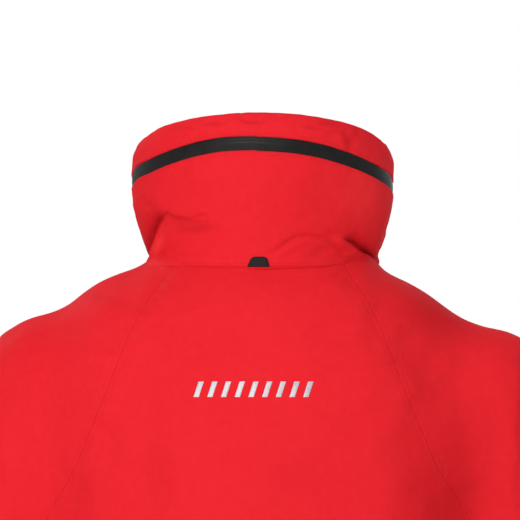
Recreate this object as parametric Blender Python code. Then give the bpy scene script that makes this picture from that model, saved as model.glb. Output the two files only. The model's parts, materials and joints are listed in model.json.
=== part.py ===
"""Foul weather jacket: red waterproof shell with a stand-up collar that stows the hood.

Frame: +Z up, origin on the hem plane at the middle of the jacket, +X to the wearer's left,
+Y to the back. Every piece is a separate closed solid. Metres.

The body and the collar are surfaces addressed by (angle, ring): the angle is in degrees,
0 at the left side, 90 at the back, 180 at the right side and -90 at the front; the ring is
a row number, whole or fractional, of the BODY or COLLAR table.
"""
import math
from collections import namedtuple

import bmesh
import bpy
import numpy as np
from mathutils import Matrix, Vector

# ---------------------------------------------------------------- driving dimensions
SHELL_T = 0.0020           # thickness of the outer fabric
LINING_DEPTH = 0.0125      # the lining hangs this far inside the shell
LINING_T = 0.0015
FRONT_Y0 = -0.1486         # centre front line: y at the hem, and its lean per metre of height
FRONT_LEAN = 0.0229
FRONT_EDGE_X = 0.0145      # front edges of the shell, each side of the main zip
SEAM_DEG = 0.22            # clearance each side of a raglan or side seam, degrees
LINING_SEAM_DEG = 0.6
NECK_END_RING = 8.94       # the body panels stop just below the neck seam

COLLAR_RADIUS = 0.117      # radius of the collar at the hood zip
COLLAR_CENTRE_Y = -0.018
HOOD_ZIP_CENTRE = Vector((0.0, COLLAR_CENTRE_Y, 0.837))
HOOD_ZIP_TILT = math.radians(16.4)
HOOD_ZIP_END = -46.0       # angle of the hood zip's left end
HOOD_ZIP_RINGS = [3.03, 3.5, 3.97]

SLEEVE_START = Vector((0.205, 0.0, 0.640))   # wearer's left
SLEEVE_LEAN = math.radians(20.0)             # sleeve's angle from vertical
SLEEVE_GAP = 0.0006        # half of the clearance left at the elbow and cuff seams
SLEEVE_CLEARANCE = 0.007   # sleeve to body
RING_POINTS = 20
ELBOW_T = 0.300            # distances along the sleeve from its start
CUFF_T = 0.565
CUFF_END_T = 0.600
ELBOW_SIZE = (0.0680, 0.0750)                # half width and half depth of the sleeve
CUFF_SIZE = (0.0555, 0.0580)
CUFF_END_SIZE = (0.0540, 0.0560)
ELBOW_HINGE_Y = -0.030     # in front of this line the elbow seam is sloped
ELBOW_SLOPE = math.tan(math.radians(41.0))

SIDES = (("left", 1), ("right", -1))

# neck seam, shared by body and collar: z at side, back, front; half width; y at the back
NECK_SEAM = (0.763, 0.760, 0.685, 0.1025, 0.085)
# rings of the body: z at side, back, front; half width; y at the back; superellipse exponent
BODY = [
    (0.000, 0.000, 0.000, 0.236, 0.138, 2.45),
    (0.120, 0.120, 0.120, 0.233, 0.139, 2.45),
    (0.260, 0.260, 0.260, 0.226, 0.142, 2.45),
    (0.400, 0.400, 0.400, 0.214, 0.147, 2.45),
    (0.500, 0.500, 0.500, 0.205, 0.150, 2.40),
    (0.580, 0.585, 0.575, 0.208, 0.149, 2.40),
    (0.645, 0.645, 0.620, 0.212, 0.143, 2.35),
    (0.695, 0.695, 0.650, 0.192, 0.130, 2.25),
    (0.733, 0.733, 0.670, 0.153, 0.110, 2.10),
    (*NECK_SEAM, 2.00),
]
# rings of the collar: z at side, back, front; half width; y at the back; power of the z rise
COLLAR = [
    (*NECK_SEAM, 2.0),
    (0.786, 0.788, 0.720, 0.1090, 0.0885, 1.6),
    (0.810, 0.826, 0.760, 0.1145, 0.0920, 1.2),
    (0.831, 0.864, 0.798, COLLAR_RADIUS, 0.0942, 1.0),
    (0.843, 0.876, 0.810, COLLAR_RADIUS, 0.0942, 1.0),
    (0.851, 0.888, 0.816, 0.1155, 0.0915, 1.0),
    (0.857, 0.897, 0.820, 0.1120, 0.0870, 1.0),
]
# raglan seam from the underarm up: body ring, angle from the side seam in degrees
RAGLAN = [(4.0, 0.0), (4.5, 25.0), (5.0, 40.0), (6.0, 50.0), (7.0, 52.0), (8.0, 50.0), (9.0, 40.5)]

# rings at which the panels and the lining both have a row of points
COMMON_RINGS = [1.0, 2.0, 3.0, 4.0, 4.5, 5.0, 5.5, 6.0, 6.5, 7.0, 7.5, 8.0]
PANEL_RINGS = [0.0, *COMMON_RINGS, 8.5, NECK_END_RING]
LINING_RINGS = [0.15, *COMMON_RINGS, 8.6]
SHOULDER_RINGS = [5.9, 6.3, 6.7, 7.1, 7.5, 8.0, 8.5, NECK_END_RING]

Look = namedtuple("Look", "colour roughness")
RED = Look(colour=(0.86, 0.025, 0.035), roughness=0.62)
BLACK = Look(colour=(0.018, 0.017, 0.018), roughness=0.45)
FLEECE = Look(colour=(0.030, 0.032, 0.038), roughness=0.95)
SILVER = Look(colour=(0.58, 0.56, 0.58), roughness=0.30)
MESH_GREY = Look(colour=(0.22, 0.23, 0.25), roughness=0.85)
HARDWARE = Look(colour=(0.10, 0.10, 0.11), roughness=0.35)


# ---------------------------------------------------------------- shape functions
def spline(table, ring):
    """Catmull-Rom interpolation of the rows of a table."""
    last = len(table) - 1
    ring = min(max(ring, 0.0), last)
    k = min(int(ring), last - 1)
    t = ring - k
    rows = [table[min(max(i, 0), last)] for i in (k - 1, k, k + 1, k + 2)]
    return [
        b + 0.5 * t * (c - a + t * (2 * a - 5 * b + 4 * c - d + t * (3 * (b - c) + d - a)))
        for a, b, c, d in zip(*rows)
    ]


def seam_angle(ring):
    """Angle of the raglan seam from the side seam; 0 below the underarm."""
    return float(np.interp(ring, *zip(*RAGLAN)))


def front_y(z):
    return FRONT_Y0 + FRONT_LEAN * z


def ring_point(angle, z_side, z_back, z_front, half_width, y_back, exponent, z_power):
    """Point of a superellipse ring whose height varies from side to back and front."""
    c = math.cos(math.radians(angle))
    s = math.sin(math.radians(angle))
    z = (z_side + (z_back - z_side) * max(0.0, s) ** z_power
         + (z_front - z_side) * max(0.0, -s) ** z_power)
    y_front = front_y(z_front)
    x = half_width * math.copysign(abs(c) ** (2 / exponent), c)
    half_depth = (y_back - y_front) / 2
    y = (y_back + y_front) / 2 + half_depth * math.copysign(abs(s) ** (2 / exponent), s)
    return Vector((x, y, z))


def body_surface(angle, ring):
    return ring_point(angle, *spline(BODY, ring), z_power=2.0)


def collar_surface(angle, ring):
    *sizes, z_power = spline(COLLAR, ring)
    return ring_point(angle, *sizes, exponent=2.0, z_power=z_power)


def outward_normal(surface, angle, ring):
    """Normal by central differences; horizontal at the lowest ring, to keep the hem level."""
    d_ring = 0.02
    across = surface(angle + 0.5, ring) - surface(angle - 0.5, ring)
    upward = surface(angle, ring + d_ring) - surface(angle, ring - d_ring)
    normal = across.cross(upward)
    if ring <= 0:
        normal.z = 0.0
    return normal.normalized()


def inset(surface, angle, ring, depth):
    """A point of a surface, moved inward along its normal."""
    return surface(angle, ring) - outward_normal(surface, angle, ring) * depth


def steps(first, last, count):
    return [first + (last - first) * i / count for i in range(count + 1)]


def bisect(is_before, low, high):
    """Value between low and high where is_before turns from true to false."""
    for _ in range(40):
        middle = (low + high) / 2
        if is_before(middle):
            low = middle
        else:
            high = middle
    return (low + high) / 2


def edge_angle(surface, ring, x):
    """Angle on the left of the front where a ring passes x."""
    return bisect(lambda angle: surface(angle, ring).x < x, -90.0, -30.0)


def back_ring_at(z):
    """Body ring whose middle of the back is at height z."""
    return bisect(lambda ring: body_surface(90, ring).z < z, 0.0, 9.0)


# ---------------------------------------------------------------- columns: ring -> angles
def mirrored(angles, side):
    return angles if side > 0 else [180 - angle for angle in angles]


def round_back(first, count):
    """Angles from first, round the back, to its mirror image on the right."""
    return steps(first, 180 - first, count)


def fixed(angles):
    return lambda ring: angles


def back_columns(clearance):
    return lambda ring: round_back(seam_angle(ring) + clearance, 12)


def front_columns(side, clearance, edge_x, count):
    def columns(ring):
        seam = seam_angle(ring) + clearance
        return mirrored(steps(-seam, edge_angle(body_surface, ring, edge_x), count), side)
    return columns


def shoulder_columns(side):
    def columns(ring):
        seam = seam_angle(ring) - SEAM_DEG
        return mirrored(steps(-seam, seam, 8), side)
    return columns


def columns_at_x(surface, half_width, count):
    """Columns on the back, evenly spaced in x from half_width to -half_width."""
    def columns(ring):
        return [bisect(lambda angle: surface(angle, ring).x > x, 0.5, 179.5)
                for x in steps(half_width, -half_width, count)]
    return columns


def collar_columns(ring):
    return round_back(edge_angle(collar_surface, ring, FRONT_EDGE_X), 24)


def collar_front_columns(side):
    """Columns between an end of the hood zip and the front edge."""
    def columns(ring):
        edge = edge_angle(collar_surface, ring, FRONT_EDGE_X)
        return mirrored(steps(HOOD_ZIP_END - 0.4, edge, 6), side)
    return columns


# ---------------------------------------------------------------- building helpers
def material(name, look):
    found = bpy.data.materials.get(name)
    if found:
        return found
    made = bpy.data.materials.new(name)
    made.use_nodes = True
    inputs = made.node_tree.nodes["Principled BSDF"].inputs
    inputs["Base Color"].default_value = (*look.colour, 1.0)
    inputs["Roughness"].default_value = look.roughness
    return made


def add_object(name, mesh, look=None, material_name=None):
    ob = bpy.data.objects.new(name, mesh)
    bpy.context.scene.collection.objects.link(ob)
    if look:
        mesh.materials.append(material(material_name or name + "_mat", look))
    return ob


def add_bmesh(name, bm, look=None, material_name=None):
    mesh = bpy.data.meshes.new(name)
    bm.to_mesh(mesh)
    bm.free()
    return add_object(name, mesh, look, material_name)


def shade_soft(ob):
    """Smooth shading with edges over 40 degrees kept sharp."""
    ob.data.shade_smooth()
    ob.data.set_sharp_from_angle(angle=math.radians(40))


def solid(name, verts, faces, look):
    """Flat-shaded closed solid, its faces turned outward."""
    mesh = bpy.data.meshes.new(name)
    mesh.from_pydata([tuple(v) for v in verts], [], faces)
    bm = bmesh.new()
    bm.from_mesh(mesh)
    bmesh.ops.recalc_face_normals(bm, faces=bm.faces)
    if bm.calc_volume(signed=True) < 0:
        bmesh.ops.reverse_faces(bm, faces=bm.faces)
    bm.to_mesh(mesh)
    bm.free()
    return add_object(name, mesh, look)


def shell(name, outer, inner, look, cyclic=False):
    """Solid between two equal grids of columns; cyclic joins the last column to the first."""
    columns, rows = len(outer), len(outer[0])
    verts = [point for grid in (outer, inner) for column in grid for point in column]

    def out(i, j):
        return (i % columns) * rows + j

    def inn(i, j):
        return columns * rows + out(i, j)

    faces = []
    for i in range(columns if cyclic else columns - 1):
        for j in range(rows - 1):
            faces.append((out(i, j), out(i + 1, j), out(i + 1, j + 1), out(i, j + 1)))
            faces.append((inn(i, j), inn(i, j + 1), inn(i + 1, j + 1), inn(i + 1, j)))
        for j in (0, rows - 1):
            faces.append((out(i, j), inn(i, j), inn(i + 1, j), out(i + 1, j)))
    if not cyclic:
        for i in (0, columns - 1):
            for j in range(rows - 1):
                faces.append((out(i, j), out(i, j + 1), inn(i, j + 1), inn(i, j)))
    ob = solid(name, verts, faces, look)
    shade_soft(ob)
    return ob


def sheet(name, surface, columns, rings, depth, thickness, look):
    """Sheet following a surface, its outer face at the given depth inside it."""
    angle_rows = [columns(ring) for ring in rings]

    def grid(at_depth):
        return [[inset(surface, angle, ring, at_depth) for angle, ring in zip(column, rings)]
                for column in zip(*angle_rows)]

    shell(name, grid(depth), grid(depth + thickness), look)


def block(name, size, matrix, look, bevel, segments=1):
    """Box with bevelled edges, placed by a matrix."""
    bm = bmesh.new()
    bmesh.ops.create_cube(bm, size=1.0)
    bmesh.ops.scale(bm, vec=Vector(size), verts=bm.verts)
    bmesh.ops.bevel(bm, geom=list(bm.edges), offset=bevel, segments=segments,
                    profile=0.5, affect="EDGES")
    bmesh.ops.transform(bm, matrix=matrix, verts=bm.verts)
    ob = add_bmesh(name, bm, look)
    shade_soft(ob)
    return ob


def cylinder(name, segments, radius, depth, centre, look=None, material_name=None):
    """Upright capped cylinder."""
    bm = bmesh.new()
    bmesh.ops.create_cone(bm, cap_ends=True, segments=segments, radius1=radius, radius2=radius,
                          depth=depth, matrix=Matrix.Translation(centre))
    return add_bmesh(name, bm, look, material_name)


def set_origin(ob, point):
    """Puts the object's origin on its hinge without moving the solid."""
    ob.data.transform(Matrix.Translation(-point))
    ob.location = point


def frame_at(point, right, up):
    """Matrix with local X along right, Z along up and Y along up x right."""
    x_axis = Vector(right).normalized()
    z_axis = (Vector(up) - x_axis * Vector(up).dot(x_axis)).normalized()
    matrix = Matrix((x_axis, z_axis.cross(x_axis), z_axis)).transposed().to_4x4()
    matrix.translation = point
    return matrix


# ---------------------------------------------------------------- body
def body_panels():
    sheet("back_panel", body_surface, back_columns(SEAM_DEG), PANEL_RINGS, 0.0, SHELL_T, RED)
    for word, side in SIDES:
        sheet(f"front_panel_{word}", body_surface,
              front_columns(side, SEAM_DEG, FRONT_EDGE_X, 7), PANEL_RINGS, 0.0, SHELL_T, RED)
        sheet(f"shoulder_panel_{word}", body_surface, shoulder_columns(side),
              SHOULDER_RINGS, 0.0, SHELL_T, RED)


def body_lining():
    """Mesh layer inside the shell, open at the armholes."""
    sheet("body_lining_back", body_surface, back_columns(LINING_SEAM_DEG),
          LINING_RINGS, LINING_DEPTH, LINING_T, MESH_GREY)
    for word, side in SIDES:
        sheet(f"body_lining_{word}", body_surface,
              front_columns(side, LINING_SEAM_DEG, 0.046, 6),
              LINING_RINGS, LINING_DEPTH, LINING_T, MESH_GREY)


def reflective_mark():
    """Silver transfer across the upper back."""
    bottom_z, top_z = 0.6418, 0.6560
    sheet("reflective_mark", body_surface, columns_at_x(body_surface, 0.0545, 8),
          steps(back_ring_at(bottom_z), back_ring_at(top_z), 2), -0.0007, 0.0004, SILVER)


# ---------------------------------------------------------------- collar
def band_profile(angle, depth):
    """Outer wall, rolled top edge and short inside facing of the band, from the bottom up."""
    points = [inset(collar_surface, angle, ring, depth) for ring in (4.03, 4.5, 5.0, 5.5)]
    top = collar_surface(angle, 6.0)
    inward = (Vector((0, COLLAR_CENTRE_Y, top.z)) - top).normalized()
    # distance inward from the top ring, distance below it
    for across, below in ((0.002, depth), (0.011, depth),
                          (0.0145 - depth, 0.003), (0.0150 - depth, 0.010)):
        points.append(top + inward * across - Vector((0, 0, below)))
    return points


def collar_top_band():
    angles = round_back(edge_angle(collar_surface, 5.0, 0.0150), 24)
    shell("collar_top_band", [band_profile(angle, 0.0) for angle in angles],
          [band_profile(angle, SHELL_T) for angle in angles], RED)


def collar():
    sheet("collar_outer", collar_surface, collar_columns,
          [0.05, 0.5, 1.0, 1.5, 2.0, 2.5, 2.97], 0.0, SHELL_T, RED)
    collar_top_band()
    # coated hood zip: black band round the back and sides, with red fabric beyond its ends
    sheet("hood_zip_tape", collar_surface, fixed(round_back(HOOD_ZIP_END, 24)),
          HOOD_ZIP_RINGS, -0.0001, 0.0014, BLACK)
    for word, side in SIDES:
        sheet(f"collar_front_{word}", collar_surface, collar_front_columns(side),
              HOOD_ZIP_RINGS, 0.0, SHELL_T, RED)
    # the rolled hood is held between the fleece lining and the shell
    sheet("collar_lining", collar_surface, fixed(round_back(-72, 24)),
          [0.2, 1.2, 2.2, 3.2, 4.2], 0.0165, 0.0025, FLEECE)
    sheet("stowed_hood", collar_surface, fixed(round_back(-25, 18)),
          [0.55, 1.2, 1.9, 2.6, 3.2], 0.0040, 0.0105, RED)
    sheet("neck_tab", collar_surface, columns_at_x(collar_surface, 0.0105, 4),
          [0.06, 0.26, 0.42], -0.0016, 0.0012, BLACK)


# ---------------------------------------------------------------- zip sliders and pulls
PULL_OVERHANG = 0.0010       # how far a pull reaches past its hinge
PULL_LIFT = 0.0013           # hinge above the face of a small slider
HINGE_FROM_MIDDLE = 0.0035   # hinge from the middle of a small slider, along the zip
SMALL_SLIDER_T = 0.0034


def zip_pull(name, size, hinge, right, up, along, bevel):
    """Pull hanging from its hinge, away from the direction along."""
    centre = hinge - along * (max(size) / 2 - PULL_OVERHANG)
    pull = block(name, size, frame_at(centre, right, up), BLACK, bevel=bevel, segments=2)
    set_origin(pull, hinge)


def small_slider(prefix, slider_size, pull_size, place, outward, right, up, along):
    block(prefix + "_slider", slider_size, frame_at(place, right, up), HARDWARE,
          bevel=0.0009, segments=2)
    hinge = place + along * HINGE_FROM_MIDDLE + outward * (SMALL_SLIDER_T / 2 + PULL_LIFT)
    zip_pull(prefix + "_pull", pull_size, hinge, right, up, along, bevel=0.0007)


# ---------------------------------------------------------------- centre front
FLAP_DEPTHS = (0.0068, 0.0084)
ZIP_DEPTHS = (-0.0005, 0.0017)
ZIP_HEIGHTS = (0.022, 0.812)


def front_point(x, z, depth):
    """Point at a depth behind the centre front line."""
    return Vector((x, front_y(z) + depth, z))


def strip(name, xs, heights, depths, look):
    """Flat strip leaning with the centre front line."""
    verts = [front_point(x, z, depth) for z in heights for depth in depths for x in xs]
    faces = [(0, 1, 3, 2), (4, 6, 7, 5), (0, 4, 5, 1), (2, 3, 7, 6), (0, 2, 6, 4), (1, 5, 7, 3)]
    solid(name, verts, faces, look)


def main_zip():
    strip("main_zip_left_side", (0.0004, 0.0132), ZIP_HEIGHTS, ZIP_DEPTHS, BLACK)
    strip("main_zip_right_side", (-0.0132, -0.0004), ZIP_HEIGHTS, ZIP_DEPTHS, BLACK)
    block("main_zip_bottom_box", (0.012, 0.0050, 0.014),
          Matrix.Translation(front_point(0, 0.0140, 0.0008)), HARDWARE, bevel=0.0012)
    strip("inner_storm_flap", (-0.034, 0.030), (0.012, 0.676), FLAP_DEPTHS, RED)
    strip("chin_guard", (-0.026, 0.022), (0.712, 0.806), FLAP_DEPTHS, FLEECE)

    right = Vector((1, 0, 0))
    up = Vector((0, FRONT_LEAN, 1)).normalized()
    slider_z = 0.800
    block("main_zip_slider", (0.0105, 0.0054, 0.0160),
          frame_at(front_point(0, slider_z, -0.0036), right, up), HARDWARE,
          bevel=0.0014, segments=2)
    zip_pull("main_zip_pull", (0.0085, 0.0024, 0.0480),
             front_point(0, slider_z + 0.0060, -0.0082), right, up, along=up, bevel=0.0009)


# ---------------------------------------------------------------- pockets
def pocket_zip(prefix, side, left_angle, low_ring, high_ring, lift):
    """Straight coated zip between two points of the shell, raised by lift, with its slider."""
    width, thickness = 0.014, 0.0014
    slider_gap = 0.0004
    slider_from_top = 0.012
    angle = left_angle if side > 0 else 180 - left_angle
    low = body_surface(angle, low_ring)
    high = body_surface(angle, high_ring)
    up = (high - low).normalized()
    normal = outward_normal(body_surface, angle, (low_ring + high_ring) / 2)
    normal = (normal - up * normal.dot(up)).normalized()
    right = normal.cross(up)

    middle = (low + high) / 2 + normal * (lift + thickness / 2)
    block(prefix + "_zip", (width, thickness, (high - low).length),
          frame_at(middle, right, up), BLACK, bevel=0.0004)
    slider_lift = lift + thickness + slider_gap + SMALL_SLIDER_T / 2
    place = high - up * slider_from_top + normal * slider_lift
    small_slider(prefix, (0.0075, SMALL_SLIDER_T, 0.0105), (0.0065, 0.0018, 0.0300),
                 place, normal, right, up, along=up)


def pockets():
    for word, side in SIDES:
        pocket_zip(f"hand_pocket_{word}", side, -50.0, 1.25, 2.55, lift=0.0026)
    pocket_zip("chest_pocket", 1, -68.0, 4.0, 5.35, lift=0.0034)
    for word, side in SIDES:
        angles = steps(-72, -42, 6) if side > 0 else steps(222, 252, 6)
        sheet(f"hand_pocket_bag_{word}", body_surface, fixed(angles),
              steps(0.9, 2.6, 6), 0.0048, 0.0020, MESH_GREY)
    sheet("chest_pocket_bag", body_surface, fixed(steps(-74, -50, 6)),
          steps(3.6, 5.3, 6), 0.0062, 0.0020, MESH_GREY)


def hood_zip_slider():
    """Slider near the left end of the hood zip, on the tilted circle of the collar."""
    cos_tilt, sin_tilt = math.cos(HOOD_ZIP_TILT), math.sin(HOOD_ZIP_TILT)
    angle = math.radians(HOOD_ZIP_END + 7.0)
    up = Vector((0, -sin_tilt, cos_tilt))
    radial = Vector((math.cos(angle), math.sin(angle) * cos_tilt, math.sin(angle) * sin_tilt))
    tangent = up.cross(radial)
    lift = 0.0022 + SMALL_SLIDER_T / 2
    place = HOOD_ZIP_CENTRE + radial * (COLLAR_RADIUS + lift)
    small_slider("hood_zip", (0.0105, SMALL_SLIDER_T, 0.0080), (0.0280, 0.0018, 0.0065),
                 place, radial, tangent, up, along=tangent)


# ---------------------------------------------------------------- sleeves
def body_half_width(y, z):
    """Outer half width of the body at a depth and height, 0 in front of or behind it."""
    # nominal ring spacing: 0.125 up to ring 4 at z 0.5, then 0.08
    ring = z / 0.125 if z < 0.5 else 4.0 + (z - 0.5) / 0.08
    _, _, z_front, half_width, y_back, exponent = spline(BODY, min(max(ring, 0), 6))
    y_front = front_y(z_front)
    y_middle, half_depth = (y_back + y_front) / 2, (y_back - y_front) / 2
    rest = 1 - abs((y - y_middle) / half_depth) ** exponent
    return half_width * rest ** (1 / exponent) if rest > 0 else 0.0


def clear_of_body(point, side):
    """The point, pushed sideways where it comes too near the body."""
    nearest = body_half_width(point.y, point.z) + SLEEVE_CLEARANCE
    if side * point.x < nearest:
        point.x = side * nearest
    return point


def ring_angles():
    return [2 * math.pi * i / RING_POINTS for i in range(RING_POINTS)]


def sleeve_point(side, t, angle, size, slope=0.0):
    """Point round the sleeve at distance t; slope shifts it along t in front of the hinge."""
    start = Vector((side * SLEEVE_START.x, 0, SLEEVE_START.z))
    along = Vector((side * math.sin(SLEEVE_LEAN), 0, -math.cos(SLEEVE_LEAN)))
    out = Vector((side * math.cos(SLEEVE_LEAN), 0, math.sin(SLEEVE_LEAN)))
    half_width, half_depth = size
    y = half_depth * math.sin(angle)
    t += slope * max(0.0, ELBOW_HINGE_Y - y)
    return start + along * t + out * (half_width * math.cos(angle)) + Vector((0, y, 0))


def sleeve_ring(side, t, size, slope=0.0):
    """Ring across the sleeve, laid flat against the body."""
    return [clear_of_body(sleeve_point(side, t, angle, size, slope), side)
            for angle in ring_angles()]


def armhole_ring(side, top_xz, bottom_xz, half_depth):
    """Ring between a top and a bottom point given as (x, z) for the left side."""
    top, bottom = (Vector((side * x, 0, z)) for x, z in (top_xz, bottom_xz))
    centre, half = (top + bottom) / 2, (top - bottom) / 2
    return [clear_of_body(centre + half * math.cos(angle)
                          + Vector((0, half_depth * math.sin(angle), 0)), side)
            for angle in ring_angles()]


def tube(name, rings, thickness, look):
    """Open tube through rings, with its wall on the inside."""
    centres = [sum(ring, Vector()) / RING_POINTS for ring in rings]
    outer = list(zip(*rings))
    inner = [[point + (centre - point).normalized() * thickness
              for point, centre in zip(column, centres)] for column in outer]
    shell(name, outer, inner, look, cyclic=True)


def sleeve(word, side):
    tube(f"upper_sleeve_{word}", [
        armhole_ring(side, (0.252, 0.682), (0.219, 0.515), 0.088),
        armhole_ring(side, (0.296, 0.617), (0.216, 0.485), 0.088),
        sleeve_ring(side, 0.150, (0.0740, 0.0840)),
        sleeve_ring(side, 0.215, (0.0710, 0.0790)),
        sleeve_ring(side, ELBOW_T - SLEEVE_GAP, ELBOW_SIZE, -ELBOW_SLOPE),
    ], 0.0025, RED)
    tube(f"lower_sleeve_{word}", [
        sleeve_ring(side, ELBOW_T + SLEEVE_GAP, ELBOW_SIZE, ELBOW_SLOPE),
        sleeve_ring(side, 0.380, (0.0640, 0.0700)),
        sleeve_ring(side, 0.470, (0.0600, 0.0640)),
        sleeve_ring(side, CUFF_T - SLEEVE_GAP, CUFF_SIZE),
    ], 0.0025, RED)
    tube(f"cuff_{word}", [
        sleeve_ring(side, CUFF_T + SLEEVE_GAP, CUFF_SIZE),
        sleeve_ring(side, CUFF_END_T, CUFF_END_SIZE),
    ], 0.0035, RED)
    tube(f"inner_cuff_{word}", [
        sleeve_ring(side, 0.520, (0.0500, 0.0530)),
        sleeve_ring(side, 0.560, (0.0400, 0.0420)),
        sleeve_ring(side, 0.586, (0.0360, 0.0370)),
    ], 0.0015, BLACK)


def cuff_point(side, degrees, t, lift):
    """Point raised by lift above the tapering cuff; 0 degrees is its outer side."""
    k = (t - CUFF_T) / (CUFF_END_T - CUFF_T)
    size = [a + (b - a) * k + lift for a, b in zip(CUFF_SIZE, CUFF_END_SIZE)]
    return sleeve_point(side, t, math.radians(degrees), size)


def cuff_strap(word, side):
    """Hook-and-loop patch and the tab over it, which is sewn at its back end."""
    middle_t, half_width = 0.583, 0.014
    tab_back = 62              # degrees
    tab_low, tab_high = 0.0022, 0.0042

    def grid(degrees, lift):
        return [[cuff_point(side, angle, t, lift)
                 for t in (middle_t - half_width, middle_t, middle_t + half_width)]
                for angle in degrees]

    patch_degrees = steps(46, -44, 8)
    shell(f"cuff_loop_patch_{word}", grid(patch_degrees, 0.0016), grid(patch_degrees, 0.0006),
          BLACK)
    tab_degrees = steps(tab_back, -14, 8)
    tab = shell(f"cuff_tab_{word}", grid(tab_degrees, tab_high), grid(tab_degrees, tab_low), RED)
    set_origin(tab, cuff_point(side, tab_back, middle_t, (tab_low + tab_high) / 2))


# ---------------------------------------------------------------- hem cord and its locks
def cord_lock(word, centre):
    """Barrel with a hole for the cord and a pocket in its back face, holding a button."""
    bm = bmesh.new()
    bmesh.ops.create_cube(bm, size=1.0)
    bmesh.ops.scale(bm, vec=(0.0100, 0.0180, 0.0140), verts=bm.verts)
    upright = [edge for edge in bm.edges
               if abs((edge.verts[0].co - edge.verts[1].co).normalized().z) > 0.9]
    bmesh.ops.bevel(bm, geom=upright, offset=0.0022, segments=3, profile=0.5, affect="EDGES")
    back = max((f for f in bm.faces if f.normal.y > 0.9), key=lambda f: f.calc_area())
    bmesh.ops.inset_individual(bm, faces=[back], thickness=0.0010)
    extruded = bmesh.ops.extrude_face_region(bm, geom=[back])["geom"]
    floor = [item for item in extruded if isinstance(item, bmesh.types.BMVert)]
    bmesh.ops.translate(bm, vec=(0, -0.0060, 0), verts=floor)
    # the extrusion may leave the original face closing the pocket's mouth
    if back.is_valid:
        bmesh.ops.delete(bm, geom=[back], context="FACES_ONLY")
    floor_y = floor[0].co.y
    pocket_width, pocket_height = (
        max(v.co[axis] for v in floor) - min(v.co[axis] for v in floor) for axis in (0, 2))
    bmesh.ops.recalc_face_normals(bm, faces=bm.faces)
    bmesh.ops.transform(bm, matrix=Matrix.Translation(centre), verts=bm.verts)
    lock = add_bmesh(f"cord_lock_{word}", bm, HARDWARE, "cord_lock_mat")

    hole = cylinder(f"cord_hole_{word}", 12, 0.0022, 0.03, centre)
    hole.hide_render = True
    hole.display_type = "WIRE"
    cut = lock.modifiers.new("hole", "BOOLEAN")
    cut.operation = "DIFFERENCE"
    cut.object = hole

    play = 0.0008                                # button to pocket, both sides together
    button_start, button_end = 0.0034, 0.0088    # from the pocket's floor
    button_y = floor_y + (button_start + button_end) / 2
    block(f"cord_lock_button_{word}",
          (pocket_width - play, button_end - button_start, pocket_height - play),
          Matrix.Translation(centre + Vector((0, button_y, 0))), BLACK, bevel=0.0006)


def hem_cord(word, side):
    centre = Vector((side * 0.2470, 0.030, 0.0560))
    cord = cylinder(f"hem_cord_{word}", 10, 0.0016, 0.1000, centre, BLACK, "hem_cord_mat")
    shade_soft(cord)
    cord_lock(word, centre)


# ---------------------------------------------------------------- hanger loop
def hanger_loop():
    """Rectangular loop and its anchor at the inside of the back neck."""
    top = Vector((0, 0.0625, 0.7530))
    half_width, height, bar, thickness = 0.029, 0.020, 0.0070, 0.0022

    def rectangle(margin):
        x, low = half_width - margin, margin - height
        return [(-x, -margin), (x, -margin), (x, low), (-x, low)]

    verts = [top + Vector((x, y, z)) for y in (-thickness / 2, thickness / 2)
             for x, z in rectangle(0) + rectangle(bar)]
    faces = []
    for k in range(4):
        n = (k + 1) % 4
        faces += [(k, n, 4 + n, 4 + k), (8 + k, 12 + k, 12 + n, 8 + n),
                  (k, 8 + k, 8 + n, n), (4 + k, 4 + n, 12 + n, 12 + k)]
    loop = solid("hanger_loop", verts, faces, BLACK)
    set_origin(loop, top)
    block("hanger_loop_anchor", (0.062, thickness, 0.0060),
          Matrix.Translation(top + Vector((0, 0, 0.0048))), BLACK, bevel=0.0004)


# ---------------------------------------------------------------- build
for old in list(bpy.data.objects):
    bpy.data.objects.remove(old, do_unlink=True)

body_panels()
body_lining()
reflective_mark()
collar()
main_zip()
pockets()
hood_zip_slider()
for side_word, side_sign in SIDES:
    sleeve(side_word, side_sign)
    cuff_strap(side_word, side_sign)
for side_word, side_sign in SIDES:
    hem_cord(side_word, side_sign)
hanger_loop()
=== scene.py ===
"""Looks of the foul weather jacket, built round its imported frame. Metres, same frame as the CAD."""
import json
import math

import bmesh
import bpy
import numpy as np
from mathutils import Matrix, Vector, noise
from mathutils.bvhtree import BVHTree

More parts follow.
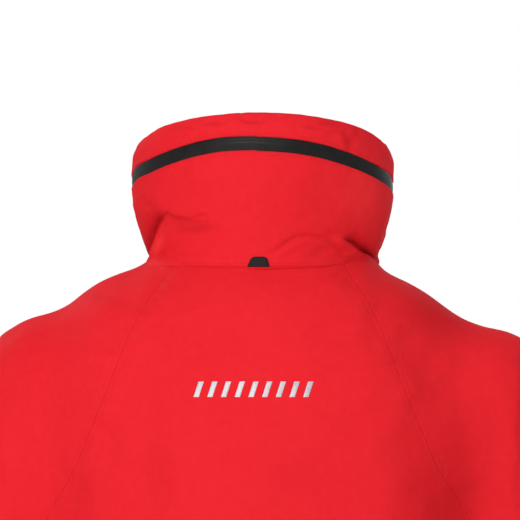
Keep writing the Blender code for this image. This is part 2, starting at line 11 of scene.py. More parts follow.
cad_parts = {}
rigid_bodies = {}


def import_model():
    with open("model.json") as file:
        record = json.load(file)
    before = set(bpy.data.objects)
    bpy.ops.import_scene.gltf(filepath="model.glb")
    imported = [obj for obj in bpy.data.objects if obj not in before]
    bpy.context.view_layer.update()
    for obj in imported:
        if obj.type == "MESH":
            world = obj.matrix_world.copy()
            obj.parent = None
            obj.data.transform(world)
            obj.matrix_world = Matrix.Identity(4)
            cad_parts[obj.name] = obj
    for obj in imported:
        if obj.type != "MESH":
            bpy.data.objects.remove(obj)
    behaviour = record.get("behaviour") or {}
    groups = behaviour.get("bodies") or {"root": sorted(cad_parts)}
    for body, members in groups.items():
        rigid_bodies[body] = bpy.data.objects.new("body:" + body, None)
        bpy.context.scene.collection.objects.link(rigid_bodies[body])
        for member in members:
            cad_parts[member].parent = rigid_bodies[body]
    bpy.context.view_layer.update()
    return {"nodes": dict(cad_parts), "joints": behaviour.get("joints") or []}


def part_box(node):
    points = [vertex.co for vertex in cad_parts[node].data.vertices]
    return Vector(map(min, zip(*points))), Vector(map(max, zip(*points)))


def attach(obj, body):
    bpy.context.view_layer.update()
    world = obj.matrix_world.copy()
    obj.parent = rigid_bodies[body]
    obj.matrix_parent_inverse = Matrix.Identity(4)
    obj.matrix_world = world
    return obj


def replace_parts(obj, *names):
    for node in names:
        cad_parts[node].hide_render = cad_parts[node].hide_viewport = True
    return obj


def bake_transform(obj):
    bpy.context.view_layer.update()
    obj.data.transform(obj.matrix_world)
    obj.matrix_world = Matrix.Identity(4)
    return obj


for old in list(bpy.data.objects):
    bpy.data.objects.remove(old, do_unlink=True)
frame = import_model()
NODES = frame["nodes"]
scene = bpy.context.scene

# ------------------------------------------------------------------ the design's surfaces, sampled finely
FRONT_Y0, FRONT_LEAN = -0.1486, 0.0229
BODY = [
    (0.000, 0.000, 0.000, 0.236, 0.138, 2.45), (0.120, 0.120, 0.120, 0.233, 0.139, 2.45),
    (0.260, 0.260, 0.260, 0.226, 0.142, 2.45), (0.400, 0.400, 0.400, 0.214, 0.147, 2.45),
    (0.500, 0.500, 0.500, 0.205, 0.150, 2.40), (0.580, 0.585, 0.575, 0.208, 0.149, 2.40),
    (0.645, 0.645, 0.620, 0.212, 0.143, 2.35), (0.695, 0.695, 0.650, 0.192, 0.130, 2.25),
    (0.733, 0.733, 0.670, 0.153, 0.110, 2.10), (0.763, 0.760, 0.685, 0.1025, 0.085, 2.00),
]
COLLAR = [
    (0.763, 0.760, 0.685, 0.1025, 0.0850, 2.0), (0.786, 0.788, 0.720, 0.1090, 0.0885, 1.6),
    (0.810, 0.826, 0.760, 0.1145, 0.0920, 1.2), (0.831, 0.864, 0.798, 0.1170, 0.0942, 1.0),
    (0.843, 0.876, 0.810, 0.1170, 0.0942, 1.0), (0.851, 0.888, 0.816, 0.1155, 0.0915, 1.0),
    (0.857, 0.897, 0.820, 0.1120, 0.0870, 1.0),
]
SLEEVE_START = np.array((0.205, 0.0, 0.640))
LEAN = math.radians(20.0)
ELBOW_T, CUFF_T, CUFF_END_T, ELBOW_HINGE_Y = 0.300, 0.565, 0.600, -0.030


def spline(table, v):
    n = len(table) - 1
    v = min(max(v, 0.0), n)
    k = min(int(v), n - 1)
    t = v - k
    rows = [table[min(max(i, 0), n)] for i in (k - 1, k, k + 1, k + 2)]
    return [b + 0.5 * t * (c - a + t * (2 * a - 5 * b + 4 * c - d + t * (3 * (b - c) + d - a)))
            for a, b, c, d in zip(*rows)]


def front_y(z):
    return FRONT_Y0 + FRONT_LEAN * z


def ring_point(deg, zs, zb, zf, a, yb, n, p):
    c, s = math.cos(math.radians(deg)), math.sin(math.radians(deg))
    z = zs + (zb - zs) * max(0.0, s) ** p + (zf - zs) * max(0.0, -s) ** p
    yf = front_y(zf)
    yc, b = (yb + yf) / 2, (yb - yf) / 2
    return Vector((a * math.copysign(abs(c) ** (2 / n), c), yc + b * math.copysign(abs(s) ** (2 / n), s), z))


def body_surface(deg, v):
    zs, zb, zf, a, yb, n = spline(BODY, v)
    return ring_point(deg, zs, zb, zf, a, yb, n, 2.0)


def collar_surface(deg, v):
    zs, zb, zf, a, yb, p = spline(COLLAR, v)
    return ring_point(deg, zs, zb, zf, a, yb, 2.0, p)


def normal_at(surface, deg, v):
    du = surface(deg + 0.5, v) - surface(deg - 0.5, v)
    dv = surface(deg, v + 0.02) - surface(deg, v - 0.02)
    return du.cross(dv).normalized()


def edge_angle(surface, v, x):
    lo, hi = -90.0, -30.0
    for _ in range(30):
        mid = (lo + hi) / 2
        if surface(mid, v).x < x:
            lo = mid
        else:
            hi = mid
    return (lo + hi) / 2


def body_half_width(y, z):
    v = 4.0 * z / 0.5 if z < 0.5 else 4.0 + (z - 0.5) / 0.08
    _, _, zf, a, yb, n = spline(BODY, min(max(v, 0), 6))
    yf = front_y(zf)
    yc, b = (yb + yf) / 2, (yb - yf) / 2
    q = 1 - abs((y - yc) / b) ** n
    return a * q ** (1 / n) if q > 0 else 0.0


def sleeve_axes(side):
    d = Vector((side * math.sin(LEAN), 0, -math.cos(LEAN)))
    out = Vector((side * math.cos(LEAN), 0, math.sin(LEAN)))
    return Vector((side * SLEEVE_START[0], 0, SLEEVE_START[2])), d, out


def smoothstep(a, b, x):
    t = np.clip((np.asarray(x, float) - a) / (b - a), 0, 1)
    return t * t * (3 - 2 * t)


def interp(x, xs, ys):
    return float(np.interp(x, xs, ys))


# ------------------------------------------------------------------ mesh helpers
def new_object(name, mesh):
    ob = bpy.data.objects.new(name, mesh)
    scene.collection.objects.link(ob)
    return ob


def mesh_object(name, verts, faces, mat=None, smooth=True):
    mesh = bpy.data.meshes.new(name)
    mesh.from_pydata([tuple(v) for v in verts], [], faces)
    mesh.update()
    if smooth:
        mesh.shade_smooth()
    ob = new_object(name, mesh)
    if mat:
        mesh.materials.append(mat)
    return ob


def grid(name, cols, mat=None, cyclic=False, flip=False):
    """Surface through columns of points; the columns run round the jacket and the rows up it."""
    nu, nv = len(cols), len(cols[0])
    faces = []
    for i in range(nu if cyclic else nu - 1):
        for j in range(nv - 1):
            a, b = (i % nu) * nv + j, ((i + 1) % nu) * nv + j
            f = (a, b, b + 1, a + 1)
            faces.append(f[::-1] if flip else f)
    return mesh_object(name, [p for c in cols for p in c], faces, mat)


def coords(ob):
    co = np.empty(len(ob.data.vertices) * 3, np.float64)
    ob.data.vertices.foreach_get("co", co)
    return co.reshape(-1, 3)


def set_coords(ob, co):
    ob.data.vertices.foreach_set("co", np.ascontiguousarray(co, np.float64).ravel())
    ob.data.update()


def normals(ob):
    n = np.empty(len(ob.data.vertices) * 3, np.float64)
    ob.data.vertex_normals.foreach_get("vector", n) if hasattr(ob.data, "vertex_normals") else None
    return n.reshape(-1, 3)


def edges_of(ob):
    e = np.empty(len(ob.data.edges) * 2, np.int64)
    ob.data.edges.foreach_get("vertices", e)
    return e.reshape(-1, 2)


def relax(co, edges, weight, rounds):
    """Laplacian smoothing of points by a weight per point."""
    n = len(co)
    count = np.bincount(edges.ravel(), minlength=n).astype(float)[:, None]
    w = np.asarray(weight, float).reshape(-1, 1) if np.ndim(weight) else float(weight)
    for _ in range(rounds):
        acc = np.zeros_like(co)
        for k in range(3):
            acc[:, k] = (np.bincount(edges[:, 0], weights=co[edges[:, 1], k], minlength=n)
                         + np.bincount(edges[:, 1], weights=co[edges[:, 0], k], minlength=n))
        co = co + w * (acc / np.maximum(count, 1) - co)
    return co


def evaluated_copy(ob, name):
    dg = bpy.context.evaluated_depsgraph_get()
    mesh = bpy.data.meshes.new_from_object(ob.evaluated_get(dg), depsgraph=dg)
    mesh.name = name
    return mesh


def apply_modifiers(ob):
    mesh = evaluated_copy(ob, ob.data.name + "_m")
    ob.modifiers.clear()
    ob.data = mesh
    return ob


def subdivide(ob, levels=1):
    m = ob.modifiers.new("sub", "SUBSURF")
    m.levels = m.render_levels = levels
    return apply_modifiers(ob)


def hash_noise(p, scale, seed=0.0, octaves=3):
    """Smooth repeatable noise for an array of points."""
    out = np.empty(len(p))
    off = Vector((seed * 3.1, seed * 1.7, seed * 2.3))
    for i, q in enumerate(p):
        out[i] = noise.fractal(Vector(q) * scale + off, 0.6, 2.0, octaves)
    return out


# ------------------------------------------------------------------ materials
class Look:
    """Small helper that builds a node material."""

    def __init__(self, name):
        self.m = bpy.data.materials.new(name)
        self.m.use_nodes = True
        self.t = self.m.node_tree
        self.b = self.t.nodes["Principled BSDF"]
        self.co = self.add("ShaderNodeTexCoord").outputs["Object"]

    def add(self, kind, **values):
        n = self.t.nodes.new(kind)
        for k, v in values.items():
            if hasattr(n, k):
                setattr(n, k, v)
            else:
                n.inputs[k.replace("_", " ")].default_value = v
        return n

    def link(self, a, b):
        self.t.links.new(a, b)

    def noise(self, scale, detail=2.0, rough=0.5, vec=None, distortion=0.0):
        n = self.add("ShaderNodeTexNoise", Scale=scale, Detail=detail, Roughness=rough, Distortion=distortion)
        self.link(vec or self.co, n.inputs["Vector"])
        return n.outputs["Fac"]

    def math(self, op, a, b=None, c=None, clamp=False):
        n = self.add("ShaderNodeMath", operation=op, use_clamp=clamp)
        for i, x in enumerate((a, b, c)):
            if x is None:
                continue
            if isinstance(x, (int, float)):
                n.inputs[i].default_value = x
            else:
                self.link(x, n.inputs[i])
        return n.outputs[0]

    def ramp(self, fac, stops):
        n = self.add("ShaderNodeValToRGB")
        el = n.color_ramp.elements
        while len(el) > 1:
            el.remove(el[-1])
        for i, (pos, col) in enumerate(stops):
            e = el[0] if i == 0 else el.new(pos)
            e.position = pos
            e.color = (*col, 1) if len(col) == 3 else col
        self.link(fac, n.inputs["Fac"])
        return n.outputs["Color"]

    def range(self, fac, a, b, c, d):
        n = self.add("ShaderNodeMapRange")
        self.link(fac, n.inputs["Value"])
        for k, v in zip(("From Min", "From Max", "To Min", "To Max"), (a, b, c, d)):
            n.inputs[k].default_value = v
        return n.outputs["Result"]

    def mix(self, fac, a, b):
        n = self.add("ShaderNodeMix", data_type="RGBA")
        self.link(fac, n.inputs["Factor"]) if not isinstance(fac, float) else None
        if isinstance(fac, float):
            n.inputs["Factor"].default_value = fac
        for x, k in ((a, 6), (b, 7)):
            if isinstance(x, tuple):
                n.inputs[k].default_value = (*x, 1)
            else:
                self.link(x, n.inputs[k])
        return n.outputs[2]

    def bump(self, height, distance, strength=1.0, normal=None):
        n = self.add("ShaderNodeBump", Strength=strength, Distance=distance)
        self.link(height, n.inputs["Height"])
        if normal is not None:
            self.link(normal, n.inputs["Normal"])
        return n.outputs["Normal"]

    def waves(self, axis, pitch, vec=None, profile="SIN"):
        """Parallel threads with the given pitch in metres."""
        n = self.add("ShaderNodeTexWave", wave_type="BANDS", bands_direction=axis, wave_profile=profile,
                     Scale=0.314159 / pitch)
        self.link(vec or self.co, n.inputs["Vector"])
        return n.outputs["Fac"]

    def attr(self, name):
        return self.add("ShaderNodeAttribute", attribute_name=name).outputs["Fac"]

    def out(self, **kw):
        for k, v in kw.items():
            i = self.b.inputs[k.replace("_", " ")]
            if isinstance(v, (int, float)):
                i.default_value = v
            elif isinstance(v, tuple):
                i.default_value = (*v, 1)
            else:
                self.link(v, i)
        return self.m


SHELL_RED = (0.860, 0.0200, 0.0300)
SHELL_DEEP = (0.700, 0.0120, 0.0190)


def shell_fabric(name, thread=0.00055):
    """Red waterproof laminate: fine plain weave, soft crinkle, stitched seams where seam_d says so, and painted shade
    and painted highlight where the per-point shading value says so.
    """
    k = Look(name)
    tone = k.noise(9.0, 3.0, 0.55)
    fine = k.noise(140.0, 3.0, 0.6)
    base = k.mix(k.range(tone, 0.30, 0.70, 0.0, 1.0), SHELL_DEEP, SHELL_RED)
    base = k.mix(0.72, base, SHELL_RED)
    base = k.mix(k.range(fine, 0.35, 0.75, 0.0, 0.16), base, (0.93, 0.045, 0.055))
    weave = k.math("MULTIPLY", k.waves("X", thread), k.waves("Z", thread))
    weave = k.math("ADD", weave, k.math("MULTIPLY", k.waves("Y", thread), 0.35))
    # seams: seam_d holds the distance to the nearest seam plus one, seam_s the length along it
    d = k.math("ABSOLUTE", k.math("SUBTRACT", k.attr("seam_d"), 1.0))
    s = k.attr("seam_s")
    groove = k.math("SUBTRACT", 1.0, k.range(d, 0.0002, 0.0012, 0.0, 1.0), clamp=True)
    row = k.math("ABSOLUTE", k.math("SUBTRACT", d, 0.0045))
    stitch_line = k.math("LESS_THAN", row, 0.00042)
    dash = k.math("LESS_THAN", k.math("FRACT", k.math("DIVIDE", s, 0.0032)), 0.72)
    stitch = k.math("MULTIPLY", stitch_line, dash)
    pinch = k.math("SUBTRACT", 1.0, k.range(row, 0.0, 0.0016, 0.0, 1.0), clamp=True)
    puck = k.noise(260.0, 2.0, 0.5)
    near = k.math("SUBTRACT", 1.0, k.range(d, 0.002, 0.016, 0.0, 1.0), clamp=True)
    base = k.mix(k.math("MULTIPLY", groove, 0.16), base, (0.30, 0.004, 0.008))
    base = k.mix(k.math("MULTIPLY", stitch, 0.10), base, (0.62, 0.010, 0.016))
    # painted shade: where the per-point painted shading value is positive, in the folds, the red is mixed towards a
    # dark red; where it is negative it is mixed towards a lighter red, a painted highlight
    base = k.mix(k.math("MULTIPLY", k.attr("painted_shading"), 0.60, clamp=True), base, (0.20, 0.0, 0.0005))
    base = k.mix(k.math("MULTIPLY", k.attr("painted_shading"), -1.0, clamp=True), base, (1.0, 0.042, 0.048))
    n = k.bump(weave, 0.00006, 0.55)
    n = k.bump(k.noise(38.0, 4.0, 0.55, distortion=0.4), 0.0011, 0.28, n)
    n = k.bump(k.math("MULTIPLY", puck, near), 0.0014, 0.55, n)
    n = k.bump(k.math("SUBTRACT", stitch, k.math("ADD", groove, k.math("MULTIPLY", pinch, 0.6))), 0.0003, 0.45, n)
    rough = k.range(fine, 0.3, 0.7, 0.58, 0.70)
    return k.out(Base_Color=base, Roughness=rough, Normal=n, Sheen_Weight=0.0, Sheen_Roughness=0.5,
                 Sheen_Tint=(1.0, 0.12, 0.12), Specular_IOR_Level=0.014)


def coated_zip(name, across="Z"):
    """Black film-coated zip: satin film with the coil showing faintly through it."""
    k = Look(name)
    cloud = k.noise(60.0, 3.0, 0.5)
    coil = k.waves("X", 0.0011)
    base = k.mix(k.range(cloud, 0.3, 0.7, 0.0, 1.0), (0.0095, 0.0090, 0.0088), (0.0150, 0.0143, 0.0138))
    scuff = k.noise(420.0, 2.0, 0.6)
    n = k.bump(coil, 0.00012, 0.25)
    n = k.bump(cloud, 0.0006, 0.35, n)
    n = k.bump(scuff, 0.00008, 0.4, n)
    return k.out(Base_Color=base, Roughness=k.range(cloud, 0.3, 0.7, 0.40, 0.52), Normal=n,
                 Specular_IOR_Level=0.17)


def fleece(name, dark=(0.028, 0.030, 0.036)):
    k = Look(name)
    a = k.noise(900.0, 4.0, 0.7)
    b = k.noise(120.0, 3.0, 0.6)
    base = k.mix(k.range(a, 0.3, 0.7, 0.0, 1.0), dark, tuple(min(1, c * 2.1) for c in dark))
    n = k.bump(a, 0.0010, 0.9)
    n = k.bump(b, 0.0016, 0.5, n)
    return k.out(Base_Color=base, Roughness=0.95, Normal=n, Sheen_Weight=0.6, Sheen_Roughness=0.5)


def mesh_cloth(name, tone=(0.075, 0.080, 0.090)):
    k = Look(name)
    v = k.add("ShaderNodeTexVoronoi", Scale=420.0)
    k.link(k.co, v.inputs["Vector"])
    hole = k.range(v.outputs["Distance"], 0.15, 0.45, 0.0, 1.0)
    base = k.mix(hole, (0.012, 0.012, 0.014), tone)
    n = k.bump(hole, 0.0005, 0.8)
    n = k.bump(k.noise(30.0, 3.0, 0.5), 0.003, 0.4, n)
    return k.out(Base_Color=base, Roughness=0.85, Normal=n, Sheen_Weight=0.2)


def webbing(name, tone, pitch=0.0012, rough=0.8):
    """Woven tape, braid or hook-and-loop: crossed ribs with a little lint."""
    k = Look(name)
    rib = k.math("MULTIPLY", k.waves("X", pitch), k.waves("Z", pitch * 0.7))
    lint = k.noise(800.0, 3.0, 0.7)
    base = k.mix(k.range(lint, 0.35, 0.7, 0.0, 1.0), tone, tuple(min(1, c * 1.9 + 0.004) for c in tone))
    n = k.bump(rib, 0.0004, 0.8)
    n = k.bump(lint, 0.0003, 0.6, n)
    return k.out(Base_Color=base, Roughness=rough, Normal=n, Sheen_Weight=0.25)


def rubber(name, tone=(0.016, 0.015, 0.016), rough=0.55, grain=1400.0):
    k = Look(name)
    g = k.noise(grain, 3.0, 0.6)
    w = k.noise(45.0, 3.0, 0.5)
    base = k.mix(k.range(w, 0.3, 0.7, 0.0, 1.0), tone, tuple(c * 1.5 for c in tone))
    n = k.bump(g, 0.00012, 0.7)
    return k.out(Base_Color=base, Roughness=k.range(w, 0.3, 0.7, rough - 0.06, rough + 0.08), Normal=n,
                 Specular_IOR_Level=0.30)


def gunmetal(name):
    k = Look(name)
    w = k.noise(260.0, 4.0, 0.6)
    base = k.mix(k.range(w, 0.4, 0.75, 0.0, 1.0), (0.10, 0.10, 0.105), (0.24, 0.24, 0.25))
    return k.out(Base_Color=base, Metallic=0.9, Roughness=k.range(w, 0.3, 0.7, 0.28, 0.45),
                 Normal=k.bump(w, 0.00008, 0.4))


def plastic(name, tone=(0.022, 0.022, 0.024)):
    k = Look(name)
    w = k.noise(700.0, 2.0, 0.5)
    base = k.mix(k.range(k.noise(60.0), 0.3, 0.7, 0.0, 1.0), tone, tuple(c * 1.4 for c in tone))
    return k.out(Base_Color=base, Roughness=k.range(w, 0.3, 0.7, 0.38, 0.52), Normal=k.bump(w, 0.00008, 0.5))


def reflective(name):
    """Silver transfer film of tiny glass beads."""
    k = Look(name)
    bead = k.add("ShaderNodeTexVoronoi", Scale=3200.0)
    k.link(k.co, bead.inputs["Vector"])
    w = k.noise(220.0, 3.0, 0.6)
    base = k.mix(k.range(w, 0.35, 0.7, 0.0, 1.0), (0.46, 0.44, 0.47), (0.60, 0.575, 0.61))
    n = k.bump(bead.outputs["Distance"], 0.00008, 0.5)
    return k.out(Base_Color=base, Metallic=0.25, Roughness=k.range(w, 0.3, 0.7, 0.34, 0.50), Normal=n)


M_SHELL = shell_fabric("red_laminate")
M_ZIP = coated_zip("coated_zip_film")
M_FLEECE = fleece("collar_fleece")
M_MESH = mesh_cloth("lining_mesh")
M_LOOP = webbing("loop_pile", (0.014, 0.014, 0.015), 0.0009, 0.9)
M_TAPE = webbing("black_tape", (0.016, 0.016, 0.018), 0.0011)
M_CORD = webbing("braided_cord", (0.020, 0.020, 0.022), 0.0016)
M_TAB = rubber("black_nape_tab", (0.0085, 0.0075, 0.0078), 0.75, 1100.0)
M_SEAL = rubber("cuff_seal_rubber", (0.020, 0.020, 0.022), 0.7, 500.0)
M_PULL = rubber("pull_rubber", (0.020, 0.019, 0.020), 0.48)
M_METAL = gunmetal("slider_metal")
M_PLASTIC = plastic("cord_lock_plastic")
M_SILVER = reflective("silver_transfer")


# ------------------------------------------------------------------ folds laid on the surface
def fold_field(p2, path, width, sharp=1.0):
    """For points p2 (x, z): signed distance across a polyline and a 0..1 weight along it."""
    path = np.asarray(path, float)
    best = np.full(len(p2), 1e9)
    side = np.zeros(len(p2))
    along = np.zeros(len(p2))
    seg = np.linalg.norm(np.diff(path, axis=0), axis=1)
    start = np.concatenate([[0], np.cumsum(seg)])
    for k in range(len(path) - 1):
        a, b = path[k], path[k + 1]
        ab = b - a
        t = np.clip(((p2 - a) @ ab) / (ab @ ab), 0, 1)
        q = a + t[:, None] * ab
        dist = np.linalg.norm(p2 - q, axis=1)
        s = np.sign((p2[:, 0] - q[:, 0]) * ab[1] - (p2[:, 1] - q[:, 1]) * ab[0])
        hit = dist < best
        best = np.where(hit, dist, best)
        side = np.where(hit, s, side)
        along = np.where(hit, (start[k] + t * seg[k]) / start[-1], along)
    return best * side, along


def crease(p2, path, width, depth, lip=0.4, ends=(0.12, 0.25)):
    """Groove along a path with a raised lip on its left side; negative is inward."""
    d, a = fold_field(p2, path, width)
    taper = smoothstep(0, ends[0], a) * (1 - smoothstep(1 - ends[1], 1, a)) if ends[0] > 0 else 1 - smoothstep(1 - ends[1], 1, a)
    g = -depth * np.exp(-(d / width) ** 2)
    l = depth * lip * np.exp(-((d + 1.7 * width) / (1.3 * width)) ** 2)
    return (g + l) * taper


def step_fold(p2, path, width, height, reach, ends=(0.1, 0.2)):
    """One side of the path stands proud with a sharp edge and falls back softly over reach."""
    d, a = fold_field(p2, path, width)
    taper = smoothstep(0, max(ends[0], 1e-3), a) * (1 - smoothstep(1 - ends[1], 1, a))
    rise = smoothstep(-width, width, d)
    fall = np.exp(-np.maximum(d, 0) / reach)
    return height * rise * fall * taper


def px(points):
    """Folds are laid out on a 0.9 mm grid, x from the wearer's left and y downwards; gives (x, z) in metres."""
    return [((262.0 - x) * 0.0009, 0.76 + (265.5 - y) * 0.0009) for x, y in points]


DROP_LEFT = [(-0.2, 0.0010), (0.10, 0.0008), (0.27, 0.0006), (0.46, 0.0022), (0.64, 0.0042), (0.83, 0.0062), (1.0, 0.0036)]
DROP_RIGHT = [(-0.2, 0.0010), (0.10, 0.0016), (0.28, 0.0022), (0.465, 0.0034), (0.65, 0.0056), (0.835, 0.0076), (0.93, 0.0080), (1.0, 0.0066)]


def collar_shape(deg, v):
    """The collar as it stands when worn in: its zip sags at the sides and its rim spreads a little."""
    q = collar_surface(deg, v)
    r = math.radians(deg)
    c, s = math.cos(r), math.sin(r)
    table = DROP_LEFT if c > 0 else DROP_RIGHT
    drop = interp(abs(c), [a for a, _ in table], [b for _, b in table])
    if s < 0:
        drop *= float(1 - smoothstep(0.0, 0.42, -s))
    w = float(smoothstep(1.2, 2.9, v) * (1 - smoothstep(4.1, 6.0, v)))
    rim = 0.0036 * float(smoothstep(4.2, 6.0, v)) * max(0.0, s) ** 3
    back = float(smoothstep(-0.55, -0.05, s))
    wide = 0.030 * float(smoothstep(4.0, 6.0, v))
    if c > 0:
        wide += interp(v, [0.0, 0.15, 0.8, 1.4, 2.5, 4.0, 6.0], [0.004, 0.006, 0.027, 0.029, 0.016, 0.016, 0.002])
    side = float(smoothstep(0.55, 0.95, c))
    k = max(0.0, 1 - v / (0.8 - 0.5 * side)) ** 2 * back * (1.0 if c > 0 else 1.0 - 0.95 * float(smoothstep(0.45, 0.85, -c)))
    flare, sink = (0.0050 + 0.0015 * side) * k, (0.0052 - 0.0042 * max(0.0, s)) * k
    x = q.x * (1 + wide * back)
    return Vector((x + c * flare, q.y + max(0.0, s) * flare, q.z - drop * w - rim - sink))


DISTANCE = 9.0
CAMERA_AIM = Vector((0.0032, -0.0180, 0.7645))
CAMERA_FROM = CAMERA_AIM + DISTANCE * Vector((-0.0523, 0.9986, 0))
PIXEL = 0.0009 / DISTANCE
LOOK_RIGHT = Vector((-0.9986, -0.0523, 0)).normalized()
LOOK = (CAMERA_AIM - CAMERA_FROM).normalized()


def layout(co):
    """Points as seen square-on from behind, on the same (x, z) layout as px()."""
    rel = np.asarray(co) - np.array(CAMERA_FROM)
    depth = rel @ np.array(LOOK)
    gx = 260 + (rel @ np.array(LOOK_RIGHT)) / depth / PIXEL
    gy = 260 - rel[:, 2] / depth / PIXEL
    return np.stack([(262.0 - gx) * 0.0009, 0.76 + (265.5 - gy) * 0.0009], 1)


def blob(p2, at, rx, ry, turn=0.0):
    """Soft round patch at a layout place; rx, ry in layout steps."""
    c = px([at])[0]
    a = math.radians(turn)
    dx, dz = (p2[:, 0] - c[0]) / 0.0009, (p2[:, 1] - c[1]) / 0.0009
    u, v = dx * math.cos(a) + dz * math.sin(a), -dx * math.sin(a) + dz * math.cos(a)
    return np.exp(-(u / rx) ** 2 - (v / ry) ** 2)


# ------------------------------------------------------------------ collar
def collar_painted_shade_and_highlight(pts):
    """Painted shade for each point of the collar, 0..1 and deepest in its folds, where the red is painted darker;
    negative values paint a highlight.
    """
    p = np.array([tuple(q) for q in pts])
    p2 = layout(p)
    back = smoothstep(-0.045, -0.005, p[:, 1])
    k = np.zeros(len(p))
    # painted shade along the fold lines: dark at the fold's edge, fading over reach
    for path, w, reach, gain, ends in (
            ([(146, 262), (149, 252), (154, 239), (159, 226), (163, 217), (168, 211.5)], 0.0007, 0.0085, 1.05, (0.01, 0.20)),
            ([(340, 238), (344, 239.5), (353, 244), (361, 251), (369, 259), (377, 267)], 0.0007, 0.0052, 1.35, (0.30, 0.01)),
            ([(212, 219), (200, 220), (190, 219), (178, 215), (165, 211)], 0.0010, 0.0050, 0.30, (0.35, 0.02)),
            ([(268, 257), (279, 249), (288, 241), (297, 236), (310, 236), (322, 239), (334, 246), (343, 254)], 0.0012, 0.0030, 0.26, (0.2, 0.1))):
        f, a = fold_field(p2, px(path), w)
        taper = smoothstep(0, max(ends[0], 1e-3), a) * (1 - smoothstep(1 - ends[1], 1, a))
        k += gain * taper * smoothstep(-w, w, f) * np.exp(-np.maximum(f, 0) / reach)
    # painted shade: soft dark patches in the hollows, in the upper band's creases and along the neck seam
    k += 0.34 * blob(p2, (196, 229), 20, 4.0, -8) + 0.20 * blob(p2, (180, 222), 12, 8)
    k += 0.30 * blob(p2, (345, 257), 12, 2.4) + 0.22 * blob(p2, (318, 249), 13, 4, -30)
    k += 0.16 * blob(p2, (356, 216), 26, 16, -40)
    k += 0.26 * blob(p2, (215, 124), 10, 1.6) + 0.26 * blob(p2, (254, 122), 12, 1.8) + 0.30 * blob(p2, (328, 124), 10, 3.0)
    k += 0.34 * blob(p2, (352, 137), 4, 9, 25) + 0.14 * blob(p2, (185, 128), 12, 2)
    k += 0.45 * blob(p2, (300, 266.5), 40, 0.7) + 0.40 * blob(p2, (210, 266.3), 40, 0.7)
    k += 0.85 * blob(p2, (368, 254), 10, 4.0, 45) + 0.35 * blob(p2, (351, 242), 7, 2.2, 25)
    k += 0.26 * blob(p2, (155, 227), 14, 4.2, -63)
    # painted highlight: the lit facet left of the neck and the collar's right side are made lighter
    k -= 1.10 * blob(p2, (157, 247), 12, 4.0, -68) + 0.60 * blob(p2, (367, 198), 24, 40)
    return np.clip(k * back, -1.0, 2.0)


